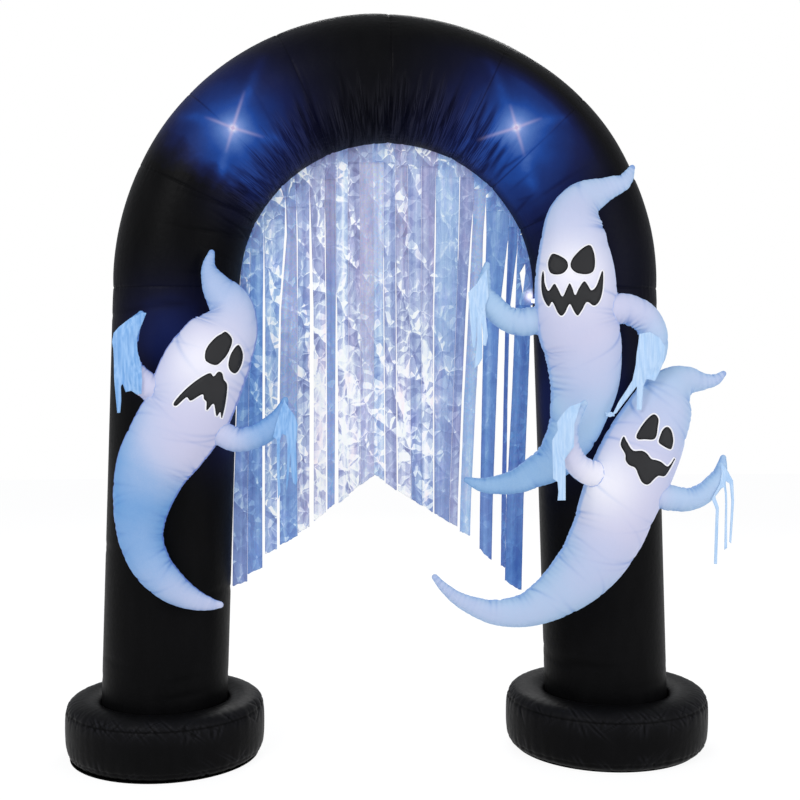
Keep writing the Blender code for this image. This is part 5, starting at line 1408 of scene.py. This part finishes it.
def makeTab(name, host, along, across, length, width):        # webbing with an eyelet and two lines of stitches
    node = "".join("_" + letter.lower() if letter.isupper() else letter for letter in name)
    middle = sum(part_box(node), Vector()) / 2
    along, across = Vector(along), Vector(across)
    up = along.cross(across)
    rows, columns, rings, sides = [tabForm[key] for key in ("rows", "columns", "rings", "sides")]
    points = []
    for row in range(rows):
        for column in range(columns):
            u, v = 2 * row / (rows - 1) - 1, 2 * column / (columns - 1) - 1
            narrowed = 1 - tabForm["rounding"] * max(abs(u) - 0.8, 0) / 0.2 * abs(v)
            points.append(middle + along * u * length / 2 + across * v * narrowed * width / 2
                          + up * tabForm["wave"] * math.sin(5 * u + 3 * v))
    tab = makePiece(name, points, lattice(rows, columns, wrapped=False), "webbing", replaced=(node,),
                    wall=tabForm["wall"])
    tab.modifiers["wall"].offset = 0
    eyelet = []
    for a in roundAngles(rings):
        for b in roundAngles(sides):
            reach = tabForm["eyelet"] + tabForm["rimWidth"] * math.cos(b)
            eyelet.append(middle + along * reach * math.cos(a) + across * reach * math.sin(a)
                          + up * tabForm["rimHeight"] * math.sin(b))
    makePiece(name + "Eyelet", eyelet, ringLattice(rings, sides), "zinc")
    places = np.linspace(-tabForm["stitchEnd"], tabForm["stitchEnd"], tabForm["stitchSteps"])
    for number, share in enumerate(tabForm["stitches"], start=1):
        line = [middle + along * share * length + across * width * place + up * tabForm["stitchLift"][k % 2]
                for k, place in enumerate(places)]
        path, faces = tubeAlong(line, tabForm["thread"], fittings["cordSides"], closed=False)
        makePiece("%sStitch%d" % (name, number), path, faces, "seamThread")


zipForm = {
    "rows": 120, "columns": 17, "inset": 0.002, "lift": 0.0012, "wall": 0.0008,
    "end": 0.01, "pitch": 0.0011, "toothReach": 0.0024, "toothLift": (0.0020, 0.0028), "coil": 0.0005,
}


def makeZip():        # woven tape and a coil of teeth that lie on the back of the left leg
    low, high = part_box("zipper_tape")
    tree = treeOf(archSkin)

    def onSkin(side, z, lift):
        x = (low.x + high.x) / 2 + side
        place, normal, _, _ = tree.ray_cast(Vector((x, 1.2, z)), Vector((0, -1, 0)))
        return Vector((x, (place.y if place else high.y) + lift, z))

    half, tall = (high.x - low.x) / 2 - zipForm["inset"], high.z - low.z
    rows, columns, pitch, end = [zipForm[key] for key in ("rows", "columns", "pitch", "end")]
    points = [onSkin(half * (2 * c / (columns - 1) - 1), low.z + tall * r / (rows - 1), zipForm["lift"])
              for r in range(rows) for c in range(columns)]
    tape = makePiece("zipTape", points, lattice(rows, columns, wrapped=False), "webbing",
                     replaced=("zipper_tape",), wall=zipForm["wall"])
    coil = [onSkin(zipForm["toothReach"] * (1 if k % 2 else -1), low.z + end + pitch * k,
                   zipForm["toothLift"][k % 4 > 1]) for k in range(int((tall - 2 * end) / pitch))]
    path, faces = tubeAlong(coil, zipForm["coil"], fittings["cordSides"], closed=False)
    makePiece("zipTeeth", path, faces, "blackPlastic")


tieForm = {
    "rows": 22, "columns": 12, "bow": 0.0015, "skew": 0.10, "lift": 0.0012, "crumple": 0.0022, "wall": 0.0006,
}


def makeTie():        # crumpled loop that ties the lower ghost's hood to the upper ghost's side
    low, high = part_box("ghost_tie_strap")
    wide, tall = high.x - low.x, high.z - low.z
    rows, columns = tieForm["rows"], tieForm["columns"]
    down, side = np.linspace(0, 1, rows)[:, None], np.linspace(0, 1, columns)[None]
    x = low.x + wide * down + tieForm["bow"] * np.sin(side * 5)
    z = low.z + tall * (side + tieForm["skew"] * np.sin(down * 9 + side * 2))
    y = low.y - tieForm["lift"] - tieForm["crumple"] * np.abs(np.sin(down * 8 + side * 3)) + 0 * x
    tie = makePiece("ghostTie", np.stack([x, y, z], -1).reshape(-1, 3), lattice(rows, columns, wrapped=False),
                    "rightCloth", replaced=("ghost_tie_strap",), wall=tieForm["wall"])


for collarName, node in fittings["collars"].items():
    makeCollar(collarName, node)
for tabName, tab in fittings["tabs"].items():
    makeTab(tabName, *tab)
makeZip()
makeTie()
print("fittings made")


# Stage and light
stage = {"half": 9, "floorWhite": 1.09, "floorShare": 0.82, "worldStrength": 0.62}


def whiteFor(paint, rays, share, kind, strength, output):        # these rays see plain white instead
    path = paint.add("ShaderNodeLightPath", {}).socket.node
    seen = sum(Wire(paint, path.outputs["Is %s Ray" % name]) for name in rays)
    white = paint.add(kind, {}, (1, 1, 1, 1), strength)
    own = Wire(paint, paint.shader.outputs[0])
    mixed = paint.add("ShaderNodeMixShader", {}, seen.limited() * share, own, white)
    paint.links.new(mixed.socket, paint.nodes[output].inputs[0])


def makeStage():
    half = stage["half"]
    mesh = bpy.data.meshes.new("floor")
    corners = [(-half, -half, 0), (half, -half, 0), (half, half, 0), (-half, half, 0)]
    mesh.from_pydata(corners, [], [(0, 1, 2, 3)])
    pale = Paint("paleFloor", {"Base Color": (0.82, 0.82, 0.83, 1), "Roughness": 0.9,
                               "Specular IOR Level": 0.1})
    whiteFor(pale, ("Camera", "Glossy", "Transmission"), stage["floorShare"], "ShaderNodeEmission",
             stage["floorWhite"], "Material Output")
    mesh.materials.append(pale.material)
    floor = bpy.data.objects.new("floor", mesh)
    bpy.context.scene.collection.objects.link(floor)
    studio = Paint("studio", {"Color": (0.94, 0.96, 1.0, 1), "Strength": stage["worldStrength"]},
                   bpy.data.worlds, "Background")
    whiteFor(studio, ("Camera", "Transmission"), 1, "ShaderNodeBackground", 1.0, "World Output")
    bpy.context.scene.world = studio.material
    bpy.context.scene.view_settings.view_transform = "Standard"


def makeLamp(name, place, aim, power, size):
    lamp = bpy.data.lights.new(name, "AREA")
    lamp.energy, lamp.size = power, size
    holder = bpy.data.objects.new(name, lamp)
    holder.location = place
    holder.rotation_euler = (Vector(aim) - Vector(place)).to_track_quat("-Z", "Y").to_euler()
    bpy.context.scene.collection.objects.link(holder)


makeStage()
makeLamp("keyLamp", (-3.2, -4.2, 4.2), (0, 0, 1.3), 150, 2.4)
makeLamp("fillLamp", (3.8, -3.6, 2.4), (0, 0, 1.3), 80, 2.6)
makeLamp("backLamp", (0.6, 4.2, 3.8), (0, 0, 1.4), 110, 2.4)
